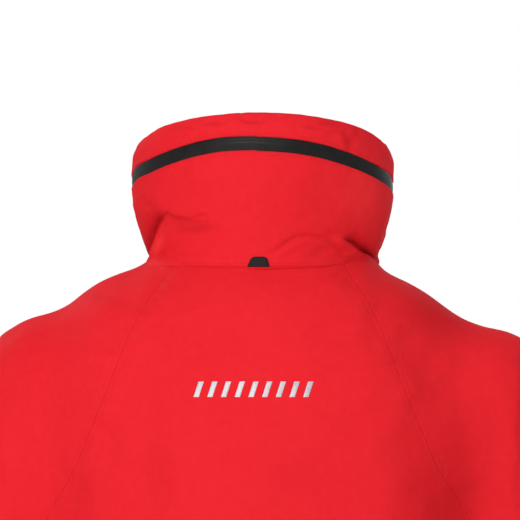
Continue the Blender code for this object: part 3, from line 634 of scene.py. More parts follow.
def collar_folds(pts):
    """Inward and outward moves of the collar's outer cloth, for points on it."""
    p = np.array([tuple(q) for q in pts])
    p2 = layout(p)
    back = smoothstep(-0.045, -0.005, p[:, 1])
    d = np.zeros(len(p))
    d += step_fold(p2, px([(146, 262), (149, 252), (154, 239), (159, 226), (163, 217), (168, 211.5)]), 0.0012, -0.0095, 0.0095, (0.01, 0.34))
    d += 0.0024 * np.exp(-((p2[:, 0] - px([(170, 226)])[0][0]) / 0.010) ** 2 - ((p2[:, 1] - px([(170, 232)])[0][1]) / 0.018) ** 2)
    d += step_fold(p2, px([(214, 217), (201, 214.5), (188, 219), (175, 218), (165, 211)]), 0.0022, -0.0030, 0.0085, (0.25, 0.02))
    d += crease(p2, px([(184, 226), (196, 230), (210, 226)]), 0.006, 0.0009, 0.3, (0.3, 0.3))
    d += crease(p2, px([(268, 258), (281, 247), (294, 239), (306, 236), (319, 237), (332, 242), (343, 253), (357, 250)]), 0.0026, 0.0017, 0.7, (0.12, 0.15))
    d += step_fold(p2, px([(268, 258), (281, 247), (294, 239), (306, 236), (319, 237), (331, 242)]), 0.0030, 0.0012, 0.020, (0.2, 0.3))
    d += crease(p2, px([(310, 250), (322, 254), (334, 257), (346, 254)]), 0.0035, 0.0010, 0.5, (0.3, 0.3))
    d += step_fold(p2, px([(336, 237), (344, 239), (353, 244), (361, 251), (369, 259), (377, 267)]), 0.0012, -0.0098, 0.0080, (0.50, 0.01))
    d += 0.0026 * np.exp(-((p2[:, 0] - px([(341, 240)])[0][0]) / 0.006) ** 2 - ((p2[:, 1] - px([(341, 243)])[0][1]) / 0.006) ** 2)
    d += crease(p2, px([(324, 232), (333, 236), (341, 234)]), 0.0030, 0.0012, 0.4, (0.3, 0.2))
    d += crease(p2, px([(330, 178), (322, 200), (334, 222)]), 0.016, 0.0014, 0.2, (0.3, 0.3))
    d += crease(p2, px([(190, 250), (222, 246), (250, 252)]), 0.006, 0.0006, 0.4, (0.3, 0.3))
    d += crease(p2, px([(160, 178), (186, 196), (214, 202)]), 0.014, 0.0009, 0.3, (0.3, 0.3))
    d += crease(p2, px([(139, 196), (146, 205), (156, 207)]), 0.005, 0.0012, 0.5, (0.2, 0.3))
    # upper band
    d += crease(p2, px([(205, 119), (208, 122), (214, 124), (223, 123)]), 0.0022, 0.0010, 0.5, (0.3, 0.3))
    d += crease(p2, px([(238, 114), (244, 120), (252, 122), (264, 121)]), 0.0022, 0.0012, 0.8, (0.1, 0.3))
    d += crease(p2, px([(300, 124), (312, 127), (324, 128), (331, 125)]), 0.0024, 0.0014, 0.7, (0.2, 0.2))
    d += crease(p2, px([(343, 128), (348, 137), (354, 148)]), 0.0040, 0.0016, 0.6, (0.2, 0.2))
    d += crease(p2, px([(180, 128), (196, 132), (214, 131)]), 0.0045, 0.0006, 0.5, (0.3, 0.3))
    d = d * back
    hollow = np.minimum(d + 0.002, 0.0)
    d = d - hollow * (1 - smoothstep(-0.014, 0.012, p[:, 1]))
    # front and sides, out of sight of the main view: soft diagonal folds from the shoulders
    side = 1 - back
    f = np.zeros(len(p))
    for sx in (1, -1):
        q2 = np.stack([p[:, 1], p[:, 2]], 1)
        m = smoothstep(0.0, 0.03, sx * p[:, 0])
        f += m * crease(q2, [(-0.020, 0.772), (-0.055, 0.768), (-0.092, 0.745), (-0.118, 0.722)], 0.0040, 0.0034, 0.6, (0.15, 0.25))
        f += m * crease(q2, [(-0.030, 0.800), (-0.062, 0.790), (-0.095, 0.772)], 0.0050, 0.0022, 0.5, (0.25, 0.3))
        f += m * crease(q2, [(-0.128, 0.752), (-0.100, 0.757), (-0.075, 0.775)], 0.0045, 0.0017, 0.5, (0.15, 0.3))
    d += f * side
    d += 0.0007 * hash_noise(p, 26.0, 4.0, 3) + 0.00035 * hash_noise(p, 75.0, 9.0, 2)
    return d


def collar_cloth(name, degs, vs, lift=0.0, turn=(0.0016, 0.0030), seam_rows=(), ends=True, folds=1.0):
    """Outer cloth of the collar between rows vs, turned in along its edges."""
    cols, info = [], []
    for deg in degs:
        col = []
        for v in vs:
            col.append((collar_shape(deg, v), normal_at(collar_shape, deg, v)))
        cols.append(col)
    flat = [c[0] for col in cols for c in col]
    disp = collar_folds(flat).reshape(len(cols), len(vs)) * folds + lift
    pts = [[c[0] + c[1] * disp[i][j] for j, c in enumerate(col)] for i, col in enumerate(cols)]
    out = []
    for i, col in enumerate(pts):
        n0, n1 = cols[i][0][1], cols[i][-1][1]
        lo = (col[0] - col[1]).normalized()
        hi = (col[-1] - col[-2]).normalized()
        a = [col[0] - n0 * turn[1] + lo * 0.0004, col[0] - n0 * turn[0] * 0.45 + lo * 0.0007] if turn[1] else []
        b = [col[-1] - n1 * turn[0] * 0.45 + hi * 0.0007, col[-1] - n1 * turn[1] + hi * 0.0004] if turn[1] else []
        out.append(a + col + b)
    if ends:
        def inward(col, i, depth, shift):
            c = []
            for j, q in enumerate(col):
                k = min(max(j - 2, 0), len(vs) - 1)
                c.append(q - cols[i][k][1] * depth + shift)
            return c
        s0 = Vector((-1, 0, 0)) * 0.0006 if out[0][3].x > 0 else Vector((1, 0, 0)) * 0.0006
        s1 = -s0
        out = ([inward(out[0], 0, 0.007, s0 * 0), inward(out[0], 0, 0.0015, s0)] + out
               + [inward(out[-1], -1, 0.0015, s1), inward(out[-1], -1, 0.007, s1 * 0)])
    ob = grid(name, out, M_SHELL)
    # seam distance: rows listed in seam_rows carry a stitched seam
    co = coords(ob)
    nv = len(out[0])
    nu = len(out)
    sd = np.full((nu, nv), 1.2)
    arr = co.reshape(nu, nv, 3)
    length = np.linalg.norm(np.diff(arr, axis=1), axis=2)
    height = np.concatenate([np.zeros((nu, 1)), np.cumsum(length, axis=1)], axis=1)
    for r in seam_rows:
        ref = height[:, r if r >= 0 else nv + r][:, None]
        sd = np.minimum(sd, 1.0 + np.abs(height - ref))
    ss = np.cumsum(np.concatenate([[0], np.linalg.norm(np.diff(arr[:, nv // 2], axis=0), axis=1)]))
    base_seam = np.abs(layout(co)[:, 0]) > 0.072
    sd = plain(sd.ravel())
    put_attr(ob, "seam_d", np.where(base_seam & (layout(co)[:, 1] < 0.79) & (co[:, 1] > -0.02), 1.2, sd))
    put_attr(ob, "seam_s", np.repeat(ss, nv))
    # painted shade and painted highlight of the collar's folds, kept per point for the red cloth's colour
    put_attr(ob, "painted_shading", collar_painted_shade_and_highlight(co))
    return ob


def plain(d, cut=0.0028):
    """Distance values for a seam without a visible row of stitches beside it."""
    d = np.asarray(d)
    return np.where(d - 1 > cut, d + 0.010, d)


def put_attr(ob, name, values):
    a = ob.data.attributes.get(name) or ob.data.attributes.new(name, "FLOAT", "POINT")
    a.data.foreach_set("value", np.ascontiguousarray(values, np.float32))


def span(a, b, n):
    return [a + (b - a) * i / (n - 1) for i in range(n)]


E0 = edge_angle(collar_surface, 2.0, 0.0150)
N_COL = 240
outer = collar_cloth("collar_outer_cloth", span(E0, 180 - E0, N_COL), span(0.0, 2.930, 84), seam_rows=(2, -3))
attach(outer, "torso"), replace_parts(outer, "collar_outer"), outer

ZE = -46.0
zip_cols, zip_d = [], span(ZE, 180 - ZE, 260)
for deg in zip_d:
    col = []
    for v in span(2.86, 4.06, 13):
        q, n = collar_shape(deg, v), normal_at(collar_shape, deg, v)
        t = (v - 2.86) / 1.20
        mid = abs(t - 0.5) * 2
        col.append(q - n * (0.0013 - 0.0006 * (1 - mid ** 2) - 0.00035 * math.exp(-((t - 0.5) / 0.05) ** 2) * -1))
    zip_cols.append(col)
zipband = grid("hood_zip_film", zip_cols, M_ZIP)
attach(zipband, "torso"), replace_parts(zipband, "hood_zip_tape"), zipband

for word, s in (("left", 1), ("right", -1)):
    ds = span(ZE + 0.1, E0, 26) if s > 0 else span(180 - ZE - 0.1, 180 - E0, 26)
    if s > 0:
        ds = ds[::-1]
    piece = collar_cloth(f"collar_front_cloth_{word}", ds, span(2.99, 4.01, 12), lift=-0.0001, turn=(0.0010, 0.0018), ends=True, folds=0.5)
    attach(piece, "torso"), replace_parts(piece, f"collar_front_{word}"), piece

# top band: up from the zip, over the edge and down inside
E1 = edge_angle(collar_surface, 5.0, 0.0150)
band_cols = []
degs = span(E1, 180 - E1, N_COL)
vs = span(4.015, 6.0, 34)
base = [[collar_shape(d, v) for v in vs] for d in degs]
nrm = [[normal_at(collar_shape, d, min(v, 5.97)) for v in vs] for d in degs]
disp = collar_folds([q for c in base for q in c]).reshape(len(degs), len(vs))
for i, d in enumerate(degs):
    col = [base[i][j] + nrm[i][j] * disp[i][j] for j in range(len(vs))]
    n0 = nrm[i][0]
    col = [col[0] - n0 * 0.0028 - Vector((0, 0, 0.0004)), col[0] - n0 * 0.0008 - Vector((0, 0, 0.0007))] + col
    top = col[-1]
    inward = Vector((-top.x, -0.018 - top.y, 0)).normalized()
    wob = 0.0008 * noise.noise(Vector((math.cos(math.radians(d)) * 4, math.sin(math.radians(d)) * 4, 7.0)))
    for k in range(1, 9):
        a = math.pi * k / 8
        col.append(top + inward * (0.0068 * (1 - math.cos(a)) * (0.98 + 0.02 * k / 8)) + Vector((0, 0, 0.0030 * math.sin(a) - 0.0009 * k / 8 + wob)))
    last = col[-1]
    for k in range(1, 7):
        col.append(last + inward * (0.0003 * k) - Vector((0, 0, 0.0028 * k)))
    band_cols.append(col)
for which in (0, -1):
    ref = band_cols[which]
    fold = [q + Vector((-math.copysign(0.0006, q.x), 0.0015, 0)) for q in ref]
    deep = [q + Vector((0, 0.0075, 0)) for q in ref]
    if which == 0:
        band_cols = [deep, fold] + band_cols
    else:
        band_cols = band_cols + [fold, deep]
band = grid("collar_top_cloth", band_cols, M_SHELL)
arr = coords(band).reshape(len(band_cols), -1, 3)
h = np.concatenate([np.zeros((arr.shape[0], 1)), np.cumsum(np.linalg.norm(np.diff(arr, axis=1), axis=2), axis=1)], axis=1)
sd = np.minimum(1.0 + np.abs(h - h[:, 2][:, None]), 1.0 + np.abs(h - h[:, -5][:, None]))
sd = np.where(np.arange(arr.shape[1])[None, :] < arr.shape[1] // 2, plain(sd), sd)
put_attr(band, "seam_d", sd.ravel())
# painted shade and painted highlight of the collar's folds, kept per point for the red cloth's colour
put_attr(band, "painted_shading", collar_painted_shade_and_highlight(coords(band)))
ss = np.cumsum(np.concatenate([[0], np.linalg.norm(np.diff(arr[:, 20], axis=0), axis=1)]))
put_attr(band, "seam_s", np.repeat(ss, arr.shape[1]))
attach(band, "torso"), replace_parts(band, "collar_top_band"), band

# fleece lining of the collar
lin_cols = []
for deg in span(-74, 254, 170):
    col = []
    for v in span(-0.1, 4.9, 44):
        q, n = collar_surface(deg, max(v, 0.0)), normal_at(collar_surface, deg, max(v, 0.0))
        if v < 0:
            q = q - Vector((0, 0, 0.012))
        deep = 0.0165 + 0.0012 * noise.noise(q * 45.0)
        if v > 4.2:
            deep = 0.0165 - 0.0005 * (v - 4.2)
        col.append(q - n * deep)
    lin_cols.append(col)
lin = grid("collar_fleece_lining", lin_cols, M_FLEECE, flip=True)
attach(lin, "torso"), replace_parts(lin, "collar_lining"), lin


# ------------------------------------------------------------------ body and sleeves: one smooth skin, cut at the seams
def closed_loft(name, rings):
    n = len(rings[0])
    verts = [p for r in rings for p in r]
    faces = []
    for k in range(len(rings) - 1):
        for i in range(n):
            a, b = k * n + i, k * n + (i + 1) % n
            faces.append((a, b, b + n, a + n))
    verts.append(sum(rings[0], Vector()) / n)
    verts.append(sum(rings[-1], Vector()) / n)
    for i in range(n):
        faces.append((len(verts) - 2, (i + 1) % n, i))
        m = (len(rings) - 1) * n
        faces.append((len(verts) - 1, m + i, m + (i + 1) % n))
    return mesh_object(name, verts, faces)


rings = []
for z in (-0.030, -0.015):
    rings.append([Vector((p.x, p.y, z)) for p in (body_surface(d, 0) for d in range(0, 360, 4))])
for v in span(0.0, 9.0, 61):
    rings.append([body_surface(d, v) for d in range(0, 360, 4)])
neck = rings[-1]
for k, (s, up) in enumerate(((0.955, 0.006), (0.93, 0.020), (0.925, 0.036))):
    rings.append([Vector((p.x * s, (p.y + 0.0237) * s - 0.0237, p.z + up)) for p in neck])
torso = closed_loft("torso_form", rings)

SLEEVE_PROFILE = [(0.00, 0.0745, 0.0860), (0.06, 0.0790, 0.0890), (0.14, 0.0765, 0.0860), (0.22, 0.0715, 0.0800),
                  (0.30, 0.0680, 0.0750), (0.38, 0.0640, 0.0700), (0.47, 0.0600, 0.0640), (0.565, 0.0560, 0.0585),
                  (0.640, 0.0535, 0.0560)]
parts = [torso]
for s in (1, -1):
    start, d, out = sleeve_axes(s)
    rr = []
    ts = [-0.066, -0.060, -0.050, -0.036, -0.020] + span(0.0, 0.640, 60)
    for t in ts:
        if t < 0:
            f = math.sqrt(max(0.0, 1 - (t / 0.069) ** 2))
            h, q = 0.0745 * f, 0.0860 * f
        else:
            h = interp(t, [a[0] for a in SLEEVE_PROFILE], [a[1] for a in SLEEVE_PROFILE])
            q = interp(t, [a[0] for a in SLEEVE_PROFILE], [a[2] for a in SLEEVE_PROFILE])
        ring = []
        gap = interp(t, [0.10, 0.14, 0.175, 0.200, 0.60], [-0.06, 0.003, 0.016, 0.023, 0.023])
        for i in range(64):
            a = 2 * math.pi * i / 64
            p = start + d * t + out * (h * math.cos(a)) + Vector((0, q * math.sin(a), 0))
            clear = body_half_width(p.y, p.z) + gap
            if s * p.x < clear and t > 0.10:
                p.x = s * (clear + 0.15 * (s * p.x - clear) * 0)
            ring.append(p)
        rr.append(ring if s > 0 else ring[::-1])
    parts.append(closed_loft(f"sleeve_form_{s}", rr))
for o in parts:
    bm = bmesh.new()
    bm.from_mesh(o.data)
    bmesh.ops.recalc_face_normals(bm, faces=bm.faces)
    bm.to_mesh(o.data)
    bm.free()
bpy.context.view_layer.objects.active = torso
for o in bpy.data.objects:
    o.select_set(o in parts)
bpy.ops.object.join()
skin = torso
skin.name = "skin"
VOXEL = 0.0070
m = skin.modifiers.new("remesh", "REMESH")
m.mode = "VOXEL"
m.voxel_size = VOXEL
m.adaptivity = 0.0
apply_modifiers(skin)
co, ed = coords(skin), edges_of(skin)
ax = np.abs(co[:, 0])
junction = np.exp(-((ax - 0.205) / 0.045) ** 2) * smoothstep(0.44, 0.50, co[:, 2]) * (1 - smoothstep(0.74, 0.76, co[:, 2]))
co = relax(co, ed, 0.5 * np.clip(junction * 1.3, 0, 1), 40)
co = relax(co, ed, 0.45, 5)
set_coords(skin, co)
print("skin", len(co))


def seam_x(z):
    """Where the raglan seam stands on the jacket, by height."""
    zs = [0.44, 0.500, 0.540, 0.580, 0.645, 0.661, 0.685, 0.703, 0.729, 0.751, 0.760, 0.80]
    xs = [0.222, 0.207, 0.186, 0.161, 0.1340, 0.1275, 0.1185, 0.1110, 0.0976, 0.0815, 0.0760, 0.070]
    return np.interp(z, zs, xs)


def seam_value(co):
    """Negative on the body, positive on the sleeves, near zero on the raglan seam."""
    low = np.array([body_half_width(y, z) + 0.007 + 0.004 * (z < 0.46) if z < 0.52 else 0.0 for y, z in co[:, 1:]])
    w = smoothstep(0.470, 0.515, co[:, 2])
    x = seam_x(co[:, 2]) * w + low * (1 - w)
    # below the armpit nothing inside this width belongs to a sleeve, however far the cloth stands off the body
    own = np.interp(co[:, 2], [0.0, 0.12, 0.26, 0.30, 0.35, 0.40, 0.44, 0.47, 0.515],
                    [0.300, 0.280, 0.254, 0.245, 0.229, 0.208, 0.190, 0.185, 0.180])
    x = np.where(co[:, 2] < 0.515, np.maximum(x, own), x)
    return np.abs(co[:, 0]) - x


def cut_along(ob, value):
    """Splits the mesh's edges where value changes sign, so faces can be parted cleanly there."""
    bm = bmesh.new()
    bm.from_mesh(ob.data)
    bm.verts.ensure_lookup_table()
    val = {v: float(x) for v, x in zip(bm.verts, value)}
    new = []
    for e in [e for e in bm.edges if val[e.verts[0]] * val[e.verts[1]] < 0]:
        a, b = e.verts
        if val[a] * val[b] >= 0:
            continue
        t = val[a] / (val[a] - val[b])
        if t < 0.12:
            val[a] = 0.0
            new.append(a)
        elif t > 0.88:
            val[b] = 0.0
            new.append(b)
        else:
            _, v = bmesh.utils.edge_split(e, a, t)
            val[v] = 0.0
            new.append(v)
    new = list({v for v in new})
    bmesh.ops.connect_verts(bm, verts=new, check_degenerate=False)
    bm.verts.ensure_lookup_table()
    out = np.array([val.get(v, 0.0) for v in bm.verts])
    bm.to_mesh(ob.data)
    bm.free()
    return out


def keep_faces(src, name, value, positive):
    """Copy of a mesh that keeps the faces on one side of value."""
    mesh = src.data.copy()
    mesh.name = name
    ob = new_object(name, mesh)
    bm = bmesh.new()
    bm.from_mesh(mesh)
    bm.verts.ensure_lookup_table()
    drop = []
    for f in bm.faces:
        s = sum(value[v.index] for v in f.verts)
        if (s < 0) == positive:
            drop.append(f)
    bmesh.ops.delete(bm, geom=drop, context="FACES")
    bmesh.ops.delete(bm, geom=[v for v in bm.verts if not v.link_faces], context="VERTS")
    bm.to_mesh(mesh)
    bm.free()
    return ob


def trim(ob, point, normal, own=lambda p: True):
    """Removes what lies beyond a plane, leaving a clean edge. Only points picked by own take part."""
    bm = bmesh.new()
    bm.from_mesh(ob.data)
    geom = [v for v in bm.verts if own(v.co)]
    geom += [x for x in bm.edges[:] + bm.faces[:] if all(own(v.co) for v in x.verts)]
    bmesh.ops.bisect_plane(bm, geom=geom, dist=1e-5, plane_co=point, plane_no=normal, clear_outer=True)
    bm.to_mesh(ob.data)
    bm.free()


co = coords(skin)
top = smoothstep(0.60, 0.70, co[:, 2])
lift = np.interp(co[:, 0], [-0.200, -0.165, -0.150, -0.129, -0.118, -0.108, -0.095, 0.095, 0.108, 0.118, 0.125, 0.147, 0.160, 0.200, 0.265],
                 [0.0, 0.0, -0.0012, -0.0030, -0.0042, -0.0046, -0.001, 0.0, 0.0012, 0.0024, 0.0040, 0.0088, 0.0100, 0.0080, 0.0])
co[:, 2] += lift * top
set_coords(skin, co)
trim(skin, (0, 0, 0.0), (0, 0, -1))
for s in (1, -1):
    start, d, out = sleeve_axes(s)
    trim(skin, start + d * CUFF_T, d, lambda p, s=s: p.x * s > 0.28)
co, ed = coords(skin), edges_of(skin)


# ------------------------------------------------------------------ where the pocket zips lie
def pocket_frame(side, deg, v_low, v_high):
    ang = deg if side > 0 else 180 - deg
    low, high = body_surface(ang, v_low), body_surface(ang, v_high)
    normal = normal_at(body_surface, ang, (v_low + v_high) / 2)
    up = (high - low).normalized()
    normal = (normal - up * normal.dot(up)).normalized()
    return {"mid": (low + high) / 2, "up": up, "out": normal, "right": (up.cross(normal) * -1.0).normalized(),
            "half": (high - low).length / 2}


POCKETS = {"hand_pocket_left": (pocket_frame(1, -50.0, 1.25, 2.55), 0.0026),
           "hand_pocket_right": (pocket_frame(-1, -50.0, 1.25, 2.55), 0.0026),
           "chest_pocket": (pocket_frame(1, -68.0, 4.0, 5.35), 0.0034)}


def pocket_axes(co, f):
    rel = co - np.array(f["mid"])
    return rel @ np.array(f["right"]), rel @ np.array(f["up"]), rel @ np.array(f["out"])


# ------------------------------------------------------------------ cloth: the skin is let out a little and settles into folds
def pin_weights(co):
    """1 holds a point where the pattern puts it, 0 lets the cloth find its own place."""
    z, ax, y = co[:, 2], np.abs(co[:, 0]), co[:, 1]
    pin = np.zeros(len(co))
    pin = np.maximum(pin, smoothstep(0.685, 0.735, z))                                   # yoke and shoulders
    pin = np.maximum(pin, (1 - smoothstep(0.010, 0.030, ax)) * (y < 0))                   # zip line
    pin = np.maximum(pin, 0.85 * (1 - smoothstep(0.000, 0.022, z)) * (ax < 0.26))         # hem band
    t = (ax - 0.205) * math.sin(LEAN) - (z - 0.640) * math.cos(LEAN)
    sleeve = ax > 0.245
    pin = np.maximum(pin, smoothstep(CUFF_T - 0.035, CUFF_T - 0.004, t) * sleeve)         # cuff seam
    for f, _ in POCKETS.values():                                                         # stiff pocket zips
        u, w, h = pocket_axes(co, f)
        pin = np.maximum(pin, (1 - smoothstep(0.008, 0.030, np.abs(u))) * (1 - smoothstep(f["half"], f["half"] + 0.03, np.abs(w)))
                         * (np.abs(h) < 0.04))
    pin = np.maximum(pin, 0.9 * (1 - smoothstep(0.10, 0.15, z)) * (ax > 0.20) * (ax < 0.26) * (np.abs(y - 0.03) < 0.04))  # cord side
    return np.clip(pin, 0, 1)


def drape(ob, frames=26, let_out=0.055):
    pins = pin_weights(coords(ob))
    g = ob.vertex_groups.new(name="pin")
    for i, w in enumerate(pins):
        if w > 0.01:
            g.add([i], float(w), "REPLACE")
    mod = ob.modifiers.new("cloth", "CLOTH")
    st = mod.settings
    st.quality = 5
    st.mass = 0.25
    st.tension_stiffness = 18
    st.compression_stiffness = 14
    st.shear_stiffness = 8
    st.bending_stiffness = 0.9
    st.tension_damping = 8
    st.compression_damping = 8
    st.bending_damping = 0.8
    st.air_damping = 3
    st.vertex_group_mass = "pin"
    st.pin_stiffness = 1.0
    st.shrink_min = -let_out
    st.use_pressure = True
    st.uniform_pressure_force = 0.35
    st.effector_weights.gravity = 0.45
    mod.collision_settings.use_collision = False
    mod.collision_settings.use_self_collision = False
    mod.point_cache.frame_start, mod.point_cache.frame_end = 1, frames
    for f in range(1, frames + 1):
        scene.frame_set(f)
    mesh = evaluated_copy(ob, "skin_draped")
    ob.modifiers.clear()
    out = np.empty(len(mesh.vertices) * 3)
    mesh.vertices.foreach_get("co", out)
    bpy.data.meshes.remove(mesh)
    scene.frame_set(1)
    ob.vertex_groups.clear()
    return out.reshape(-1, 3)


rest = coords(skin)
put_attr(skin, "seam_rest", seam_value(rest))
import time
t0 = time.time()
move = drape(skin) - rest
print("drape", round(time.time() - t0, 1), "s, largest move", float(np.linalg.norm(move, axis=1).max()))
size = np.linalg.norm(move, axis=1)
cap = 0.022
move *= (np.tanh(size / cap) * cap / np.maximum(size, 1e-9))[:, None]
z, ax = rest[:, 2], np.abs(rest[:, 0])
skin.data.update()
nr = normals(skin)
sink = (move * nr).sum(1)
limit = np.where(ax < 0.245, -0.0060, -0.0130)
near_cuff = smoothstep(0.42, 0.495, (ax - 0.205) * math.sin(LEAN) - (z - 0.640) * math.cos(LEAN)) * (ax > 0.245)
limit = limit * (1 - near_cuff) - 0.0025 * near_cuff
move += nr * (np.where(sink < limit, limit - (limit - sink) * 0.15, sink) - sink)[:, None]
calm = 1 - 0.62 * smoothstep(0.46, 0.62, z) * (rest[:, 1] > -0.02) * (1 - smoothstep(0.20, 0.26, ax))
co = rest + move * calm[:, None]
co = relax(co, ed, 0.35, 2)
set_coords(skin, co)

# broad folds on the back and small puckers beside the raglan seams
co = coords(skin)
skin.data.update()
nr = normals(skin)
p2 = layout(co)
backside = smoothstep(-0.02, 0.03, co[:, 1])
d = np.zeros(len(co))
d += crease(p2, px([(150, 500), (158, 450), (176, 415), (200, 395)]), 0.020, 0.0030, 0.5, (0.1, 0.3))
d += crease(p2, px([(112, 470), (104, 440), (100, 415)]), 0.014, 0.0040, 0.6, (0.2, 0.2))
d += crease(p2, px([(398, 330), (412, 352), (440, 372)]), 0.018, 0.0045, 0.5, (0.2, 0.2))
d += crease(p2, px([(430, 500), (418, 455), (398, 420)]), 0.020, 0.0048, 0.5, (0.1, 0.3))
d += crease(p2, px([(372, 500), (362, 440), (352, 400)]), 0.022, 0.0022, 0.4, (0.1, 0.3))
d += crease(p2, px([(200, 410), (240, 424), (300, 420)]), 0.016, 0.0011, 0.4, (0.3, 0.3))
d += crease(p2, px([(340, 270), (352, 282), (350, 300)]), 0.0060, 0.0014, 0.6, (0.2, 0.3))
d += crease(p2, px([(164, 272), (158, 282), (160, 296)]), 0.0055, 0.0012, 0.6, (0.2, 0.3))
d += 0.0013 * hash_noise(co, 13.0, 2.0, 3)
d += 0.0006 * hash_noise(co, 42.0, 5.0, 2)
sv = seam_value(co)
along = co[:, 2] * 1.12 + np.abs(co[:, 1]) * 0.4
near = np.exp(-(sv / 0.010) ** 2) * smoothstep(0.50, 0.56, co[:, 2])
wob = np.array([noise.noise(Vector((float(a) * 60, float(x) * 8, 3.0))) for a, x in zip(along, np.sign(co[:, 0]))])
d += near * 0.0016 * wob
d -= 0.0012 * np.exp(-(sv / 0.0032) ** 2) * smoothstep(0.50, 0.56, co[:, 2])
# channel for the main zip down the front
zx = (1 - smoothstep(0.0135, 0.0165, np.abs(co[:, 0]))) * (co[:, 1] < 0) * (co[:, 2] < 0.80)
set_coords(skin, co + nr * (d * (0.25 + 0.75 * backside))[:, None] + np.array((0, 1, 0)) * (zx * 0.0045)[:, None])

skin = subdivide(skin, 1)
co = coords(skin)
for f, lift in POCKETS.values():
    u, w, h = pocket_axes(co, f)
    m = ((1 - smoothstep(0.0105, 0.030, np.abs(u))) * (1 - smoothstep(f["half"] + 0.006, f["half"] + 0.030, np.abs(w)))
         * (np.abs(h) < 0.03))
    co = co + np.array(f["out"]) * ((lift - 0.0012 - h) * m)[:, None]
m = (1 - smoothstep(0.125, 0.185, co[:, 2])) * (1 - smoothstep(0.030, 0.060, np.abs(co[:, 1] - 0.03))) * (np.abs(co[:, 0]) < 0.27)
over = np.maximum(np.abs(co[:, 0]) - 0.2395, 0) * m
co[:, 0] -= np.sign(co[:, 0]) * over
set_coords(skin, co)
# under the armpit the parts are told apart where they lay before the cloth settled
sv = seam_value(coords(skin))
kept = np.empty(len(sv), np.float32)
skin.data.attributes["seam_rest"].data.foreach_get("value", kept)
w = smoothstep(0.500, 0.550, coords(skin)[:, 2])
sv = sv * w + kept * (1 - w)
sv = cut_along(skin, sv)
print("skin final", len(skin.data.vertices), len(skin.data.polygons))
torso_cloth = keep_faces(skin, "body_cloth", sv, False)
sleeves = keep_faces(skin, "sleeves", sv, True)
bpy.data.objects.remove(skin, do_unlink=True)


def body_painted_shade(co):
    # painted shade on the back: the right side and the sleeve cap darker, with small dark patches in the folds and
    # puckers beside the raglan seams
    p2 = layout(co)
    k = (0.30 * blob(p2, (438, 312), 38, 26, 20) + 0.42 * blob(p2, (448, 500), 40, 64, 10) + 0.10 * blob(p2, (420, 380), 34, 120) + 0.10 * blob(p2, (378, 430), 16, 60)
         + 0.10 * blob(p2, (160, 480), 12, 70) + 0.12 * blob(p2, (86, 490), 12, 40) + 0.10 * blob(p2, (300, 470), 40, 30)
         + 0.14 * blob(p2, (104, 300), 26, 6, 20) + 0.10 * blob(p2, (412, 400), 16, 34, 20))
    for at, rx, ry, turn in (((166, 281), 9, 2.6, 30), ((160, 292), 7, 2.2, 15), ((155, 301), 5, 3, 60), ((147, 313), 4, 2.4, 20),
                             ((138, 312), 6, 2.0, 10), ((126, 330), 3.5, 2.4, 20), ((112, 352), 4, 2.2, 20),
                             ((338, 272), 7, 2.0, -30), ((346, 280), 6, 2.6, -40), ((392, 362), 5, 1.6, -40), ((403, 374), 4, 1.6, -40)):
        k = k + 0.13 * blob(p2, at, rx, ry, turn)
    return np.clip(k * smoothstep(-0.02, 0.02, co[:, 1]), 0, 1)


def seam_attributes(ob, extra=None):
    c = coords(ob)
    s = np.abs(seam_value(c))
    s = np.where(c[:, 2] > 0.49, s, 1.0)
    length = c[:, 2] * 1.1 + np.abs(c[:, 1]) * 0.35
    if extra is not None:
        e, l = extra(c)
        length = np.where(e < s, l, length)
        s = np.minimum(s, e)
    put_attr(ob, "seam_d", 1.0 + np.minimum(s, 0.2))
    put_attr(ob, "seam_s", length)


def body_seams(c):
    hem = np.abs(c[:, 2] - 0.030)
    side = np.where((c[:, 2] < 0.50), np.abs(c[:, 1] - 0.004), 1.0)
    around = np.arctan2(c[:, 1], c[:, 0]) * 0.19
    front = np.where((c[:, 1] < 0) & (np.abs(c[:, 0]) < 0.05), np.abs(np.abs(c[:, 0]) - 0.0155), 1.0)
    e = np.minimum(np.minimum(hem, side), front)
    l = np.where(hem <= e, around, c[:, 2])
    for f, _ in POCKETS.values():
        u, w, h = pocket_axes(c, f)
        du, dw = np.abs(u) - 0.0088, np.abs(w) - f["half"] - 0.0030
        box = np.abs(np.where((du > 0) | (dw > 0), np.hypot(np.maximum(du, 0), np.maximum(dw, 0)), np.maximum(du, dw)))
        box = np.where(np.abs(h) < 0.03, box, 1.0)
        l = np.where(box < e, np.where(du > dw, w, u), l)
        e = np.minimum(e, box)
    return e, l


seam_attributes(torso_cloth, body_seams)
# painted shade of the back's folds, kept per point for the red cloth's colour
put_attr(torso_cloth, "painted_shading", body_painted_shade(coords(torso_cloth)))
torso_cloth.data.materials.append(M_SHELL)
torso_cloth.data.shade_smooth()


def open_points(ob):
    """True for each point on an open edge of the mesh."""
    bm = bmesh.new()
    bm.from_mesh(ob.data)
    out = np.array([v.is_boundary for v in bm.verts])
    bm.free()
    return out


def fold_edge(ob, pick, inward, depth, mat=None):
    """Turns an open edge in on itself so it reads as a hem and not as a paper edge."""
    bm = bmesh.new()
    bm.from_mesh(ob.data)
    layer = bm.verts.layers.float.get("seam_d")
    edges = [e for e in bm.edges if e.is_boundary and all(pick(v.co) for v in e.verts)]
    for k, (a, b) in enumerate(((0.0010, 0.0006), (0.0022, -0.0002), (0.0026, -depth * 0.4), (0.0030, -depth))):
        ext = bmesh.ops.extrude_edge_only(bm, edges=edges)
        vs = [g for g in ext["geom"] if isinstance(g, bmesh.types.BMVert)]
        edges = [g for g in ext["geom"] if isinstance(g, bmesh.types.BMEdge) and g.is_boundary]
        pa, pb = ((0.0, 0.0), (0.0010, 0.0006), (0.0022, -0.0002), (0.0026, -depth * 0.4))[k]
        for v in vs:
            inn, along = inward(v.co)
            v.co += inn * (a - pa) + along * (b - pb)
    bm.to_mesh(ob.data)
    bm.free()


